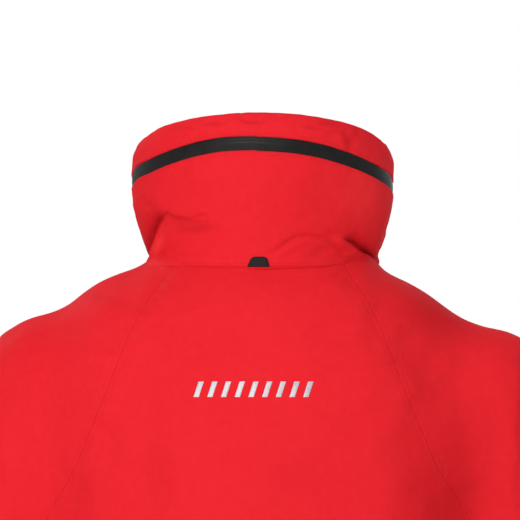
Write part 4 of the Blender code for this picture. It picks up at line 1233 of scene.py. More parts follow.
fold_edge(torso_cloth, lambda c: c.z < 0.002,
          lambda c: (Vector((-c.x, -c.y, 0)).normalized(), Vector((0, 0, -0.3)) if c.z > -0.0003 else Vector((0, 0, -1))), 0.030)
lowest = coords(torso_cloth)
lowest[:, 2] = np.maximum(lowest[:, 2], 0.0)
set_coords(torso_cloth, lowest)
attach(torso_cloth, "torso")
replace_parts(torso_cloth, "back_panel", "front_panel_left", "front_panel_right")

for word, s in (("left", 1), ("right", -1)):
    start, dd, out = sleeve_axes(s)
    co = coords(sleeves)
    one = keep_faces(sleeves, f"sleeve_one_{word}", co[:, 0] * s, True)
    c = coords(one)
    t = (c - np.array(start)) @ np.array(dd)
    split = 0.233
    tv = cut_along(one, t - split)
    upper = keep_faces(one, f"sleeve_upper_cloth_{word}", tv, False)
    lower = keep_faces(one, f"sleeve_lower_cloth_{word}", tv, True)
    bpy.data.objects.remove(one, do_unlink=True)

    def sleeve_seams(c, s=s, start=start, dd=dd, out=out):
        rel = c - np.array(start)
        t = rel @ np.array(dd)
        o = rel @ np.array(out)
        elbow = np.abs(t - 0.262 + 0.05 * smoothstep(0.0, -0.07, c[:, 1]) * 0)
        cuffseam = np.abs(t - (CUFF_T - 0.012))
        under = np.where((o < 0) & (t > 0.12), np.abs(c[:, 1] - 0.004), 1.0)
        e = np.minimum(np.minimum(elbow, cuffseam), under)
        around = np.arctan2(c[:, 1], o) * 0.07
        return e, np.where(under <= e, t, around)

    for ob in (upper, lower):
        seam_attributes(ob, sleeve_seams)
        # painted shade of the back's folds, kept per point for the red cloth's colour
        put_attr(ob, "painted_shading", body_painted_shade(coords(ob)))
        ob.data.materials.append(M_SHELL)
        ob.data.shade_smooth()
    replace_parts(upper, f"shoulder_panel_{word}", f"upper_sleeve_{word}")
    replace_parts(lower, f"lower_sleeve_{word}")
    P = Vector((s * 0.190, 0, 0.635))
    bd = Vector((s * math.sin(math.radians(68)), 0, -math.cos(math.radians(68))))
    # the seam stays whole on the body and the lower rim whole on the sleeve; positions along the sleeve, across a bend
    # line and on the open rim are worked out here but not used, so nothing bends
    c = coords(upper)
    t, lie = (c - np.array(start)) @ np.array(dd), (c - np.array(P)) @ np.array(bd)
    rim = open_points(upper)
    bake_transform(upper)
    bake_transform(lower)
bpy.data.objects.remove(sleeves, do_unlink=True)


# ------------------------------------------------------------------ helpers for small hard parts
def hard(name, size, matrix, mat, bevel, segments=3, taper=None):
    bm = bmesh.new()
    bmesh.ops.create_cube(bm, size=1.0)
    bmesh.ops.scale(bm, vec=Vector(size), verts=bm.verts)
    if taper:
        for v in bm.verts:
            if v.co.z * taper[1] > 0:
                v.co.x *= taper[0]
    bmesh.ops.bevel(bm, geom=list(bm.edges), offset=bevel, segments=segments, profile=0.6, affect="EDGES")
    bmesh.ops.transform(bm, matrix=matrix, verts=bm.verts)
    mesh = bpy.data.meshes.new(name)
    bm.to_mesh(mesh)
    bm.free()
    mesh.shade_smooth()
    mesh.set_sharp_from_angle(angle=math.radians(50))
    mesh.materials.append(mat)
    return new_object(name, mesh)


def joined(name, objs):
    for o in bpy.data.objects:
        o.select_set(o in objs)
    bpy.context.view_layer.objects.active = objs[0]
    bpy.ops.object.join()
    objs[0].name = name
    return objs[0]


def basis(right, up):
    r = Vector(right).normalized()
    u = (Vector(up) - r * Vector(up).dot(r)).normalized()
    return Matrix((r, u.cross(r), u)).transposed().to_4x4()


def oriented_box(node):
    """Centre of a CAD node's vertices."""
    c = coords(NODES[node])
    return Vector(c.mean(0))


def pull_piece(name, hinge, right, up, length, width, thick):
    """Moulded zip pull: a bail at the slider end, a waisted neck, a ribbed grip."""
    m = basis(right, up)
    objs = []
    pts, n = [], 26
    for i in range(n + 1):
        t = i / n
        w = width * (0.36 + 0.14 * smoothstep(0.16, 0.30, t) - 0.05 * smoothstep(0.9, 1.0, t))
        w *= math.sqrt(max(0.0, 1 - max(0.0, (t - 0.93) / 0.07) ** 2)) * 0.75 + 0.25
        th = thick * (0.5 - 0.10 * smoothstep(0.2, 0.3, t) * (1 - smoothstep(0.86, 0.9, t)) * (0.5 + 0.5 * math.cos(t * length / 0.0022 * 2 * math.pi)))
        pts.append((t, w, th))
    cols = []
    for a in range(20):
        ang = 2 * math.pi * a / 20
        ca, sa = math.cos(ang), math.sin(ang)
        e = 0.45
        col = []
        for t, w, th in pts:
            x = w * math.copysign(abs(ca) ** e, ca)
            y = th * math.copysign(abs(sa) ** e, sa)
            col.append(m @ Vector((x, y, 0.0010 - t * length)) + Vector(hinge))
        cols.append(col)
    ob = grid(name + "_g", cols, M_PULL, cyclic=True)
    bm = bmesh.new()
    bm.from_mesh(ob.data)
    for loop_end in (True, False):
        es = [e for e in bm.edges if e.is_boundary]
        bmesh.ops.holes_fill(bm, edges=es)
        break
    bmesh.ops.recalc_face_normals(bm, faces=bm.faces)
    bm.to_mesh(ob.data)
    bm.free()
    ob.data.set_sharp_from_angle(angle=math.radians(45))
    ob.name = name
    return ob


def slider_piece(name, centre, right, up, size):
    """Zip slider: body with flared shoulders and a raised bridge for the pull."""
    m = Matrix.Translation(Vector(centre)) @ basis(right, up)
    w, d, h = size
    body = hard(name + "_b", (w, d * 0.62, h), m @ Matrix.Translation((0, d * 0.17, 0)), M_METAL, d * 0.22, 3, taper=(0.80, -1))
    bridge = hard(name + "_r", (w * 0.30, d * 0.46, h * 0.62), m @ Matrix.Translation((0, -d * 0.24, h * 0.08)), M_METAL, d * 0.14, 3)
    return joined(name, [body, bridge])


UP_LINE = Vector((0, FRONT_LEAN, 1)).normalized()


def from_joint(name):
    return next(j for j in frame["joints"] if j["name"] == name)


# main zip: two coated tapes and two rows of moulded teeth
def zip_point(x, z, depth):
    return Vector((x, front_y(z) + depth, z))


for word, s in (("left", 1), ("right", -1)):
    lo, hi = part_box(f"main_zip_{word}_side")
    zs = span(lo.z, hi.z, 220)
    prof = [(0.0150, 0.0019), (0.0142, 0.0012), (0.0120, 0.0006), (0.0060, 0.0005), (0.0038, 0.0006), (0.0030, 0.0012), (0.0030, 0.0019)]
    cols = [[zip_point(s * x, z, dep + 0.0002 * noise.noise(Vector((s * 3, 0, z * 60)))) for z in zs] for x, dep in prof]
    tape = grid(f"main_zip_tape_{word}", cols, M_ZIP, flip=s > 0)
    teeth_v, teeth_f = [], []
    pitch, k = 0.0032, 0
    z = lo.z + 0.004
    while z < hi.z - 0.002:
        zz = z + (pitch / 2 if s < 0 else 0)
        x0, x1, hd = s * 0.0046, -s * 0.0012, 0.00105
        base = len(teeth_v)
        for x, hh, y0 in ((x0, hd * 0.85, 0.0), (s * 0.0014, hd, 0.0), (x1, hd * 0.62, 0.0003)):
            for zz2 in (-hh, hh):
                for dep in (-0.0011 + y0, 0.0014 - y0):
                    teeth_v.append(zip_point(x, zz + zz2, dep))
        for a in (0, 4):
            teeth_f += [(base + a, base + a + 1, base + a + 5, base + a + 4), (base + a + 2, base + a + 6, base + a + 7, base + a + 3),
                        (base + a, base + a + 4, base + a + 6, base + a + 2), (base + a + 1, base + a + 3, base + a + 7, base + a + 5)]
        teeth_f += [(base, base + 2, base + 3, base + 1), (base + 8, base + 9, base + 11, base + 10)]
        z += pitch
    teeth = mesh_object(f"main_zip_teeth_{word}", teeth_v, teeth_f, M_PLASTIC, smooth=False)
    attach(tape, "torso"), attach(teeth, "torso")
    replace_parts(tape, f"main_zip_{word}_side")
    tape, teeth

# sliders and pulls stand for the CAD's plain blocks
def slider_set(node_s, node_p, body_s, body_p, hinge_joint, right, up, big):
    cs = coords(NODES[node_s])
    centre = Vector((cs.min(0) + cs.max(0)) / 2)
    r = Vector(right).normalized()
    u = Vector(up).normalized()
    size = [max(abs((Vector(p) - centre).dot(a)) for p in cs) * 2 for a in (r, u.cross(r), u)]
    sl = slider_piece(node_s + "_cast", centre, r, u, size)
    h = Vector(from_joint(hinge_joint)["pos_m"])
    cp = coords(NODES[node_p])
    length = max((h - Vector(p)).dot(u) for p in cp)
    width = max(abs((Vector(p) - h).dot(r)) for p in cp) * 2
    pl = pull_piece(node_p + "_moulded", h, r, u, length, width * 1.02, big)
    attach(sl, body_s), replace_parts(sl, node_s), sl
    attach(pl, body_p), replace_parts(pl, node_p), pl


slider_set("main_zip_slider", "main_zip_pull", "main_slider", "main_pull", "main_zip_pull_flip", (1, 0, 0), UP_LINE, 0.0030)


def outward_right(joint):
    j = from_joint(joint)
    return -Vector(j["axis"])


for key, joint, slide in (("hand_pocket_left", "hand_pocket_pull_flip_left", "hand_pocket_zip_slide_left"),
                          ("hand_pocket_right", "hand_pocket_pull_flip_right", "hand_pocket_zip_slide_right"),
                          ("chest_pocket", "chest_pocket_pull_flip", "chest_pocket_zip_slide")):
    word = key.split("_")[-1]
    bs = "chest_slider" if key == "chest_pocket" else f"hand_slider_{word}"
    bp = "chest_pull" if key == "chest_pocket" else f"hand_pull_{word}"
    up = -Vector(from_joint(slide)["axis"])
    slider_set(key + "_slider", key + "_pull", bs, bp, joint, outward_right(joint), up, 0.0022)
hz = from_joint("hood_zip")
ring_up = Vector(hz["axis"])
hinge = Vector(from_joint("hood_zip_pull_flip")["pos_m"])
radial = hinge - Vector(hz["pos_m"])
radial = (radial - ring_up * radial.dot(ring_up)).normalized()
tang = ring_up.cross(radial)
slider_set("hood_zip_slider", "hood_zip_pull", "hood_slider", "hood_pull", "hood_zip_pull_flip", -ring_up, tang, 0.0022)


# ------------------------------------------------------------------ cuffs
def cuff_point(s, deg, t, lift):
    k = (t - CUFF_T) / (CUFF_END_T - CUFF_T)
    h, q = 0.0555 - 0.0015 * k + lift, 0.0580 - 0.0020 * k + lift
    a = math.radians(deg)
    start, d, out = sleeve_axes(s)
    return start + d * t + out * (h * math.cos(a)) + Vector((0, q * math.sin(a), 0))


def cuff_radial(s, deg):
    _, _, out = sleeve_axes(s)
    a = math.radians(deg)
    return (out * math.cos(a) + Vector((0, math.sin(a), 0))).normalized()


for word, s in (("left", 1), ("right", -1)):
    start, d, out = sleeve_axes(s)
    degs = [i * 3.0 for i in range(120)]
    prof = ([(CUFF_T - 0.0040, -0.0030), (CUFF_T - 0.0006, -0.0012), (CUFF_T + 0.0006, 0.0000)]
            + [(t, 0.0) for t in span(CUFF_T + 0.0022, CUFF_END_T - 0.0022, 16)]
            + [(CUFF_END_T - 0.0008, -0.0003), (CUFF_END_T, -0.0011), (CUFF_END_T - 0.0004, -0.0020), (CUFF_END_T - 0.0020, -0.0028), (CUFF_END_T - 0.0300, -0.0033)])
    cols, sdv, ssv = [], [], []
    for i, a in enumerate(degs):
        col = []
        for t, lift in prof:
            p = cuff_point(s, a, t, 0.0)
            n = cuff_radial(s, a)
            under_tab = -20 < (a + 180) % 360 - 180 < 70
            wob = 0.0 if under_tab else 0.0009 * noise.noise(p * 55.0) - 0.0003
            col.append(p + n * (lift - 0.0001 + wob * (1 if lift > -0.002 else 0.3)))
            sdv.append(1 + min(abs(t - CUFF_T - 0.0005), abs(t - CUFF_END_T - 0.0005) if lift > -0.002 else 1.0))
            ssv.append(math.radians(a) * 0.056)
        cols.append(col)
    cuff = grid(f"cuff_cloth_{word}", cols, M_SHELL, cyclic=True, flip=s > 0)
    put_attr(cuff, "seam_d", np.array(sdv)), put_attr(cuff, "seam_s", np.array(ssv))
    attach(cuff, f"forearm_{word}"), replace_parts(cuff, f"cuff_{word}"), cuff

    # inner seal: gathered ring of stretch cloth
    cols = []
    for a in degs:
        col = []
        for t in span(0.520, 0.586, 20):
            h = interp(t, [0.520, 0.560, 0.586], [0.0500, 0.0400, 0.0360])
            q = interp(t, [0.520, 0.560, 0.586], [0.0530, 0.0420, 0.0370])
            g = 0.0007 * math.sin(math.radians(a) * 30 + 3 * t) * smoothstep(0.535, 0.56, t) + 0.0006 * math.sin(t * 900)
            r = math.radians(a)
            col.append(start + d * t + out * ((h + g) * math.cos(r)) + Vector((0, (q + g) * math.sin(r), 0)))
        last = col[-1]
        cen = start + d * 0.586
        col += [last + (cen - last).normalized() * 0.0012 + d * 0.0006, last + (cen - last).normalized() * 0.0018 - d * 0.004]
        cols.append(col)
    seal = grid(f"inner_cuff_seal_{word}", cols, M_SEAL, cyclic=True, flip=s > 0)
    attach(seal, f"forearm_{word}"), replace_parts(seal, f"inner_cuff_{word}"), seal

    def slab(name, a0, a1, t0, t1, l0, l1, mat, round_end=0.0, n=30, thick_edge=0.0006):
        """Soft strip lying round the cuff between two angles, rounded at its far end."""
        top, bot = [], []
        angs = span(a0, a1, n)
        for i, a in enumerate(angs):
            far = (len(angs) - 1 - i) / (len(angs) - 1) * abs(a1 - a0) * math.radians(1) * 0.056
            cut = 0.0
            if round_end and far < round_end:
                cut = (round_end - math.sqrt(max(0, round_end ** 2 - (round_end - far) ** 2))) * 0.75
            tc, th = (t0 + t1) / 2, (t1 - t0) / 2 - cut
            edge = 0.0 if 0 < i < len(angs) - 1 else 0.5
            ct, cb = [], []
            for k in range(11):
                u = -1 + 2 * k / 10
                rim = (abs(u) ** 6) * thick_edge + edge * thick_edge
                ct.append(cuff_point(s, a, tc + th * u, l1 - rim))
                cb.append(cuff_point(s, a, tc + th * u, l0 + rim * 0.3))
            top.append(ct), bot.append(cb)
        verts, faces = [], []
        nu, nv = len(top), 11
        for cset in (top, bot):
            for c in cset:
                verts += c
        for i in range(nu - 1):
            for k in range(nv - 1):
                a, b = i * nv + k, (i + 1) * nv + k
                faces.append((a, b, b + 1, a + 1))
                o = nu * nv
                faces.append((o + a, o + a + 1, o + b + 1, o + b))
        o = nu * nv
        for i in range(nu - 1):
            for k, w in ((0, 1), (nv - 1, -1)):
                f = (i * nv + k, o + i * nv + k, o + (i + 1) * nv + k, (i + 1) * nv + k)
                faces.append(f if w > 0 else f[::-1])
        for i, w in ((0, -1), (nu - 1, 1)):
            for k in range(nv - 1):
                f = (i * nv + k, o + i * nv + k, o + i * nv + k + 1, i * nv + k + 1)
                faces.append(f if w > 0 else f[::-1])
        ob = mesh_object(name, verts, faces, mat)
        bm = bmesh.new()
        bm.from_mesh(ob.data)
        bmesh.ops.recalc_face_normals(bm, faces=bm.faces)
        bm.to_mesh(ob.data)
        bm.free()
        ob.data.set_sharp_from_angle(angle=math.radians(60))
        sd, ss = [], []
        for cset in (top, bot):
            for i, c in enumerate(cset):
                for k in range(nv):
                    u = (1 - abs(-1 + 2 * k / 10)) * (t1 - t0) / 2
                    v = min(i, nu - 1 - i) / (nu - 1) * abs(a1 - a0) * math.radians(1) * 0.056
                    sd.append(1 + min(u, v) + 0.0018)
                    ss.append(i / (nu - 1) * abs(a1 - a0) * math.radians(1) * 0.056 if u < v else k * (t1 - t0) / 10)
        put_attr(ob, "seam_d", np.array(sd)), put_attr(ob, "seam_s", np.array(ss))
        return ob

    patch = slab(f"cuff_loop_pile_{word}", 46, -44, 0.569, 0.597, 0.0004, 0.0016, M_LOOP)
    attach(patch, f"forearm_{word}"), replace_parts(patch, f"cuff_loop_patch_{word}"), patch
    tab = slab(f"cuff_tab_cloth_{word}", 62, -14, 0.569, 0.597, 0.0022, 0.0042, M_SHELL, round_end=0.012)
    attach(tab, f"cuff_strap_{word}"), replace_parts(tab, f"cuff_tab_{word}"), tab


# ------------------------------------------------------------------ pocket zips
def swept(name, frames, profile, mat, cyclic_path=False):
    """Closed profile (x, y) carried along frames of (point, side, out)."""
    cols = []
    for px_, py_ in profile:
        cols.append([p + a * px_ + b * py_ for p, a, b in frames])
    ob = grid(name, cols, mat, cyclic=True)
    bm = bmesh.new()
    bm.from_mesh(ob.data)
    if cyclic_path:
        bmesh.ops.remove_doubles(bm, verts=bm.verts, dist=1e-6)
    else:
        bmesh.ops.holes_fill(bm, edges=[e for e in bm.edges if e.is_boundary])
    bmesh.ops.recalc_face_normals(bm, faces=bm.faces)
    bm.to_mesh(ob.data)
    bm.free()
    ob.data.set_sharp_from_angle(angle=math.radians(55))
    return ob


def flat_profile(w, t, r=0.0005, mound=0.0):
    """Flat strip section, width w and thickness t from 0 up, with eased edges and a slight mound."""
    top = [(x * w / 2, t + mound * (1 - x * x)) for x in (0.96, 0.7, 0.3, 0.08, 0.0, -0.08, -0.3, -0.7, -0.96)]
    return [(w / 2, t * 0.15), (w / 2, t * 0.75)] + top + [(-w / 2, t * 0.75), (-w / 2, t * 0.15), (-w / 2 * 0.98, 0), (w / 2 * 0.98, 0)]


for key, (f, lift) in POCKETS.items():
    n = 60
    fr = [(f["mid"] + f["up"] * x + f["out"] * lift, f["right"], f["out"]) for x in span(-f["half"], f["half"], n)]
    prof = flat_profile(0.014, 0.0012, mound=0.0001)
    prof = [(x, y - 0.00025 * math.exp(-(x / 0.0006) ** 2) * (y > 0.0008)) for x, y in prof]
    z = swept(key + "_zip_film", fr, prof, M_ZIP)
    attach(z, "torso"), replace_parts(z, key + "_zip"), z


# ------------------------------------------------------------------ pieces between shell and lining
def inner_sheet(name, surface, degs, vs, d0, d1, mat, wave=0.0006, scale=40.0, seed=0.0):
    """Closed soft sheet between depths d0 and d1 inside a surface."""
    outer, inner = [], []
    for a in degs:
        co_, ci = [], []
        for v in vs:
            q, n = surface(a, v), normal_at(surface, a, min(max(v, 0.02), 8.9))
            if v <= 0.2:
                n = Vector((n.x, n.y, 0)).normalized()
            k = wave * noise.noise(q * scale + Vector((seed, 0, 0)))
            co_.append(q - n * (d0 + k))
            ci.append(q - n * (d1 + k))
        outer.append(co_), inner.append(ci)
    nu, nv = len(outer), len(outer[0])
    verts = [p for c in outer for p in c] + [p for c in inner for p in c]
    o, faces = nu * nv, []
    for i in range(nu - 1):
        for j in range(nv - 1):
            a, b = i * nv + j, (i + 1) * nv + j
            faces.append((a, b, b + 1, a + 1))
            faces.append((o + a, o + a + 1, o + b + 1, o + b))
    for i in range(nu - 1):
        a, b = i * nv, (i + 1) * nv
        faces.append((a, o + a, o + b, b))
        faces.append((a + nv - 1, b + nv - 1, o + b + nv - 1, o + a + nv - 1))
    for j in range(nv - 1):
        faces.append((j, j + 1, o + j + 1, o + j))
        k = (nu - 1) * nv + j
        faces.append((k, o + k, o + k + 1, k + 1))
    ob = mesh_object(name, verts, faces, mat)
    bm = bmesh.new()
    bm.from_mesh(ob.data)
    bmesh.ops.recalc_face_normals(bm, faces=bm.faces)
    bm.to_mesh(ob.data)
    bm.free()
    ob.data.set_sharp_from_angle(angle=math.radians(60))
    return ob


def inner_piece(ob, node):
    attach(ob, "torso"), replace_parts(ob, node), ob


for word, s in (("left", 1), ("right", -1)):
    ds = span(-72, -42, 16) if s > 0 else span(222, 252, 16)
    inner_piece(inner_sheet(f"hand_pocket_bag_cloth_{word}", body_surface, ds, span(0.9, 2.6, 24), 0.0088, 0.0102, M_MESH), f"hand_pocket_bag_{word}")
inner_piece(inner_sheet("chest_pocket_bag_cloth", body_surface, span(-74, -50, 14), span(3.6, 5.3, 24), 0.0088, 0.0102, M_MESH), "chest_pocket_bag")
inner_piece(inner_sheet("rolled_hood_cloth", collar_surface, span(-25, 205, 110), span(0.55, 3.2, 14), 0.0112, 0.0150, M_SHELL, 0.0009, 60.0), "stowed_hood")


def lining_edge(v):
    """Angle on a ring where the armhole side of the lining ends."""
    lo, hi = 0.0, 88.0
    z = body_surface(0, v).z
    if z < 0.46:
        return 0.6
    for _ in range(30):
        mid = (lo + hi) / 2
        p = body_surface(mid, v)
        if p.x > float(seam_x(p.z)) - 0.004:
            lo = mid
        else:
            hi = mid
    return max(lo, 0.6)


def lining_grid(name, columns, vs, node):
    cols = None
    rows = []
    for v in vs:
        rows.append([(body_surface(a, v), normal_at(body_surface, a, min(max(v, 0.02), 8.9))) for a in columns(v)])
    cols = []
    for i in range(len(rows[0])):
        col = []
        for k, r in enumerate(rows):
            q, n = r[i]
            if vs[k] <= 0.3:
                n = Vector((n.x, n.y, 0)).normalized()
            col.append(q - n * (0.0134 + 0.0010 * noise.noise(q * 22.0) + 0.0004 * noise.noise(q * 70.0)))
        cols.append(col)
    ob = grid(name, cols, M_MESH)
    m = ob.modifiers.new("thick", "SOLIDIFY")
    m.thickness, m.offset = 0.0010, -1
    apply_modifiers(ob)
    inner_piece(ob, node)


LV = span(0.15, 8.6, 80)
lining_grid("back_lining_cloth", lambda v: span(lining_edge(v) + 0.6, 179.4 - lining_edge(v), 60), LV, "body_lining_back")
for word, s in (("left", 1), ("right", -1)):
    def cols_of(v, s=s):
        a, e = lining_edge(v) + 0.6, edge_angle(body_surface, v, 0.046)
        c = span(-a, e, 34)
        return c if s > 0 else [180 - x for x in c]
    lining_grid(f"front_lining_cloth_{word}", cols_of, LV, f"body_lining_{word}")


def soft_strip(name, x0, x1, z0, z1, d0, d1, mat, node):
    zs = span(z0, z1, 90)
    fr = []
    for z in zs:
        w = 0.0004 * noise.noise(Vector((x0 * 9, 0, z * 30)))
        fr.append((zip_point((x0 + x1) / 2, z, (d0 + d1) / 2 + w), Vector((1, 0, 0)), Vector((0, 1, 0))))
    hw, ht = (x1 - x0) / 2, (d1 - d0) / 2
    prof = []
    for k in range(28):
        a = 2 * math.pi * k / 28
        c, q = math.cos(a), math.sin(a)
        prof.append((hw * math.copysign(abs(c) ** 0.35, c), ht * math.copysign(abs(q) ** 0.5, q)))
    ob = swept(name, fr, prof, mat)
    inner_piece(ob, node)


soft_strip("storm_flap_cloth", -0.034, 0.030, 0.012, 0.676, 0.0068, 0.0084, M_SHELL, "inner_storm_flap")
soft_strip("chin_guard_cloth", -0.026, 0.022, 0.712, 0.806, 0.0068, 0.0084, M_FLEECE, "chin_guard")


# ------------------------------------------------------------------ hem cord, lock and button
for word, s in (("left", 1), ("right", -1)):
    X = s * 0.2470
    path = [Vector((s * 0.2270, 0.030, 0.1120)), Vector((s * 0.2330, 0.030, 0.1130)), Vector((s * 0.2395, 0.030, 0.1125)),
            Vector((s * 0.2445, 0.030, 0.1095)), Vector((X, 0.030, 0.1040))] + [Vector((X, 0.030, z)) for z in span(0.100, 0.0048, 62)]
    frames_ = []
    for i, p in enumerate(path):
        tdir = (path[min(i + 1, len(path) - 1)] - path[max(i - 1, 0)]).normalized()
        b = Vector((0, 1, 0))
        frames_.append((p, tdir.cross(b).normalized(), b))
    cols = []
    for k in range(14):
        a = 2 * math.pi * k / 14
        col = []
        for i, (p, u, b) in enumerate(frames_):
            knot = math.exp(-((p.z - 0.0068) / 0.0019) ** 2)
            r = 0.00155 + 0.0016 * knot + 0.00008 * math.sin(p.z / 0.0016 * math.pi + a * 2)
            col.append(p + u * (r * math.cos(a)) + b * (r * math.sin(a)))
        cols.append(col)
    cord = grid(f"hem_cord_braid_{word}", cols, M_CORD, cyclic=True)
    bm = bmesh.new()
    bm.from_mesh(cord.data)
    bmesh.ops.holes_fill(bm, edges=[e for e in bm.edges if e.is_boundary])
    bmesh.ops.recalc_face_normals(bm, faces=bm.faces)
    bm.to_mesh(cord.data)
    bm.free()
    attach(cord, "torso"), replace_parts(cord, f"hem_cord_{word}"), cord
    # the lock's own solid keeps its bore and pocket; it only gets its finish and softened edges
    lock = NODES[f"cord_lock_{word}"]
    lock.data.materials.clear()
    lock.data.materials.append(M_PLASTIC)
    bv = lock.modifiers.new("ease", "BEVEL")
    bv.width, bv.segments, bv.limit_method, bv.angle_limit = 0.0006, 3, "ANGLE", math.radians(40)
    lo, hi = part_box(f"cord_lock_button_{word}")
    c = (lo + hi) / 2
    size = hi - lo
    btn = hard(f"cord_lock_press_{word}_cap", (size.x, size.y, size.z), Matrix.Translation(c), M_PULL, 0.0011, 4)
    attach(btn, f"cord_button_{word}"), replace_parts(btn, f"cord_lock_button_{word}"), btn


# ------------------------------------------------------------------ hanger loop and its anchor
top = Vector((0, 0.0625, 0.7530))
n, fr = 96, []
hw, hh = 0.0290 - 0.0035, 0.0100 - 0.0035
for k in range(n):
    a = 2 * math.pi * k / n
    c, q = math.cos(a), math.sin(a)
    fr.append(top + Vector((hw * math.copysign(abs(c) ** 0.42, c), 0, -0.0100 + hh * math.copysign(abs(q) ** 0.42, q))))
frames_ = []
for k in range(n + 1):
    p = fr[k % n]
    t = (fr[(k + 1) % n] - fr[(k - 1) % n]).normalized()
    side = t.cross(Vector((0, 1, 0))).normalized()
    frames_.append((p, side, Vector((0, 1, 0))))
prof = []
for k in range(22):
    a = 2 * math.pi * k / 22
    c, q = math.cos(a), math.sin(a)
    prof.append((0.0034 * math.copysign(abs(c) ** 0.4, c), 0.0011 * math.copysign(abs(q) ** 0.6, q)))
loop = swept("hanger_loop_tape", frames_, prof, M_TAPE, cyclic_path=True)
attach(loop, "hanger"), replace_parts(loop, "hanger_loop"), loop
anchor = hard("hanger_anchor_tape", (0.062, 0.0022, 0.0060), Matrix.Translation(top + Vector((0, 0, 0.0048))), M_TAPE, 0.0007, 3)
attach(anchor, "torso"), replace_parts(anchor, "hanger_loop_anchor"), anchor
bottom = NODES["main_zip_bottom_box"]
bottom.data.materials.clear()
bottom.data.materials.append(M_METAL)
bv = bottom.modifiers.new("ease", "BEVEL")
bv.width, bv.segments, bv.limit_method, bv.angle_limit = 0.0005, 3, "ANGLE", math.radians(40)


# ------------------------------------------------------------------ pieces laid on the cloth: nape tab and silver dashes
def tree_of(*obs):
    verts, faces, n = [], [], 0
    for ob in obs:
        verts += [tuple(v.co) for v in ob.data.vertices]
        faces += [tuple(i + n for i in p.vertices) for p in ob.data.polygons]
        n = len(verts)
    return BVHTree.FromPolygons(verts, faces)




def sight(tree, x, y):
    """Where the line of sight through grid place (x, y), 0.9 mm apart at the collar, meets the cloth."""
    ray = (CAMERA_AIM - CAMERA_FROM).normalized() + LOOK_RIGHT * ((x - 260) * PIXEL) + Vector((0, 0, 1)) * ((260 - y) * PIXEL)
    hit, normal, _, _ = tree.ray_cast(CAMERA_FROM, ray.normalized())
    return hit, (normal if normal and normal.dot(ray) < 0 else -normal) if normal else None


def laid_patch(name, tree, outline, mat, lift, thick, nu=14, nv=12):
    """Thin patch lying on the cloth; outline(u, v) gives grid places for u, v in 0..1."""
    pts, nrm = [], []
    for i in range(nu + 1):
        for j in range(nv + 1):
            hit, n = sight(tree, *outline(i / nu, j / nv))
            pts.append(hit)
            nrm.append(n)
    pts = np.array([tuple(p) for p in pts]).reshape(nu + 1, nv + 1, 3)
    nrm = np.array([tuple(p) for p in nrm]).reshape(nu + 1, nv + 1, 3)
    for _ in range(3):
        nrm[1:-1, 1:-1] = (nrm[1:-1, 1:-1] * 2 + nrm[:-2, 1:-1] + nrm[2:, 1:-1] + nrm[1:-1, :-2] + nrm[1:-1, 2:]) / 6
    nrm /= np.linalg.norm(nrm, axis=2)[:, :, None]
    m = nrm.reshape(-1, 3).mean(0)
    nrm = nrm * 0.4 + m / np.linalg.norm(m) * 0.6
    u = np.linspace(0, 1, nu + 1)[:, None, None]
    v = np.linspace(0, 1, nv + 1)[None, :, None]
    edge = np.minimum(np.minimum(u, 1 - u), np.minimum(v, 1 - v))
    up = pts + nrm * (lift + thick * np.sqrt(np.clip(edge * 8, 0.0, 1)))
    low = pts + nrm * (lift - 0.0012)
    verts = [tuple(p) for p in up.reshape(-1, 3)] + [tuple(p) for p in low.reshape(-1, 3)]
    w, o, faces = nv + 1, (nu + 1) * (nv + 1), []
    for i in range(nu):
        for j in range(nv):
            a, b = i * w + j, (i + 1) * w + j
            faces.append((a, a + 1, b + 1, b))
            faces.append((o + a, o + b, o + b + 1, o + a + 1))
    for i in range(nu):
        a, b = i * w, (i + 1) * w
        faces.append((a, b, o + b, o + a))
        faces.append((a + nv, o + a + nv, o + b + nv, b + nv))
    for j in range(nv):
        faces.append((j, o + j, o + j + 1, j + 1))
        k = nu * w + j
        faces.append((k, k + 1, o + k + 1, o + k))
    ob = mesh_object(name, verts, faces, mat)
    bm = bmesh.new()
    bm.from_mesh(ob.data)
    bmesh.ops.recalc_face_normals(bm, faces=bm.faces)
    bm.to_mesh(ob.data)
    bm.free()
    ob.data.set_sharp_from_angle(angle=math.radians(70))
    return ob


def tab_outline(u, v):
    half = 11.2 - 3.7 * v ** 1.3
    k = max(0.0, (v - 0.68) / 0.32)
    half -= 3.3 * (1 - math.sqrt(max(0.0, 1 - k * k)))
    return 258.5 + 0.8 * v + (2 * u - 1) * half, 267.0 - 10.4 * v


cloth_tree = tree_of(outer, torso_cloth)
tab = laid_patch("nape_tab", cloth_tree, tab_outline, M_TAB, 0.0002, 0.0010, 20, 16)
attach(tab, "torso"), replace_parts(tab, "neck_tab"), tab

dashes = []
COUNT, X0, X1, Y0, Y1, SLANT = 9, 193.5, 313.5, 397.0, 381.5, 5.0
pitch = (X1 - X0 + 3.4) / COUNT
for k in range(COUNT):
    a = X0 + k * pitch
    w = pitch - 3.4 - SLANT * 0
    dashes.append(laid_patch(f"dash_{k}", cloth_tree,
                             lambda u, v, a=a, w=w: (a + u * (w - SLANT) + SLANT * v, Y0 + (Y1 - Y0) * v), M_SILVER, 0.0001, 0.00016, 8, 8))
mark = joined("silver_dashes", dashes)
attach(mark, "torso"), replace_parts(mark, "reflective_mark"), mark

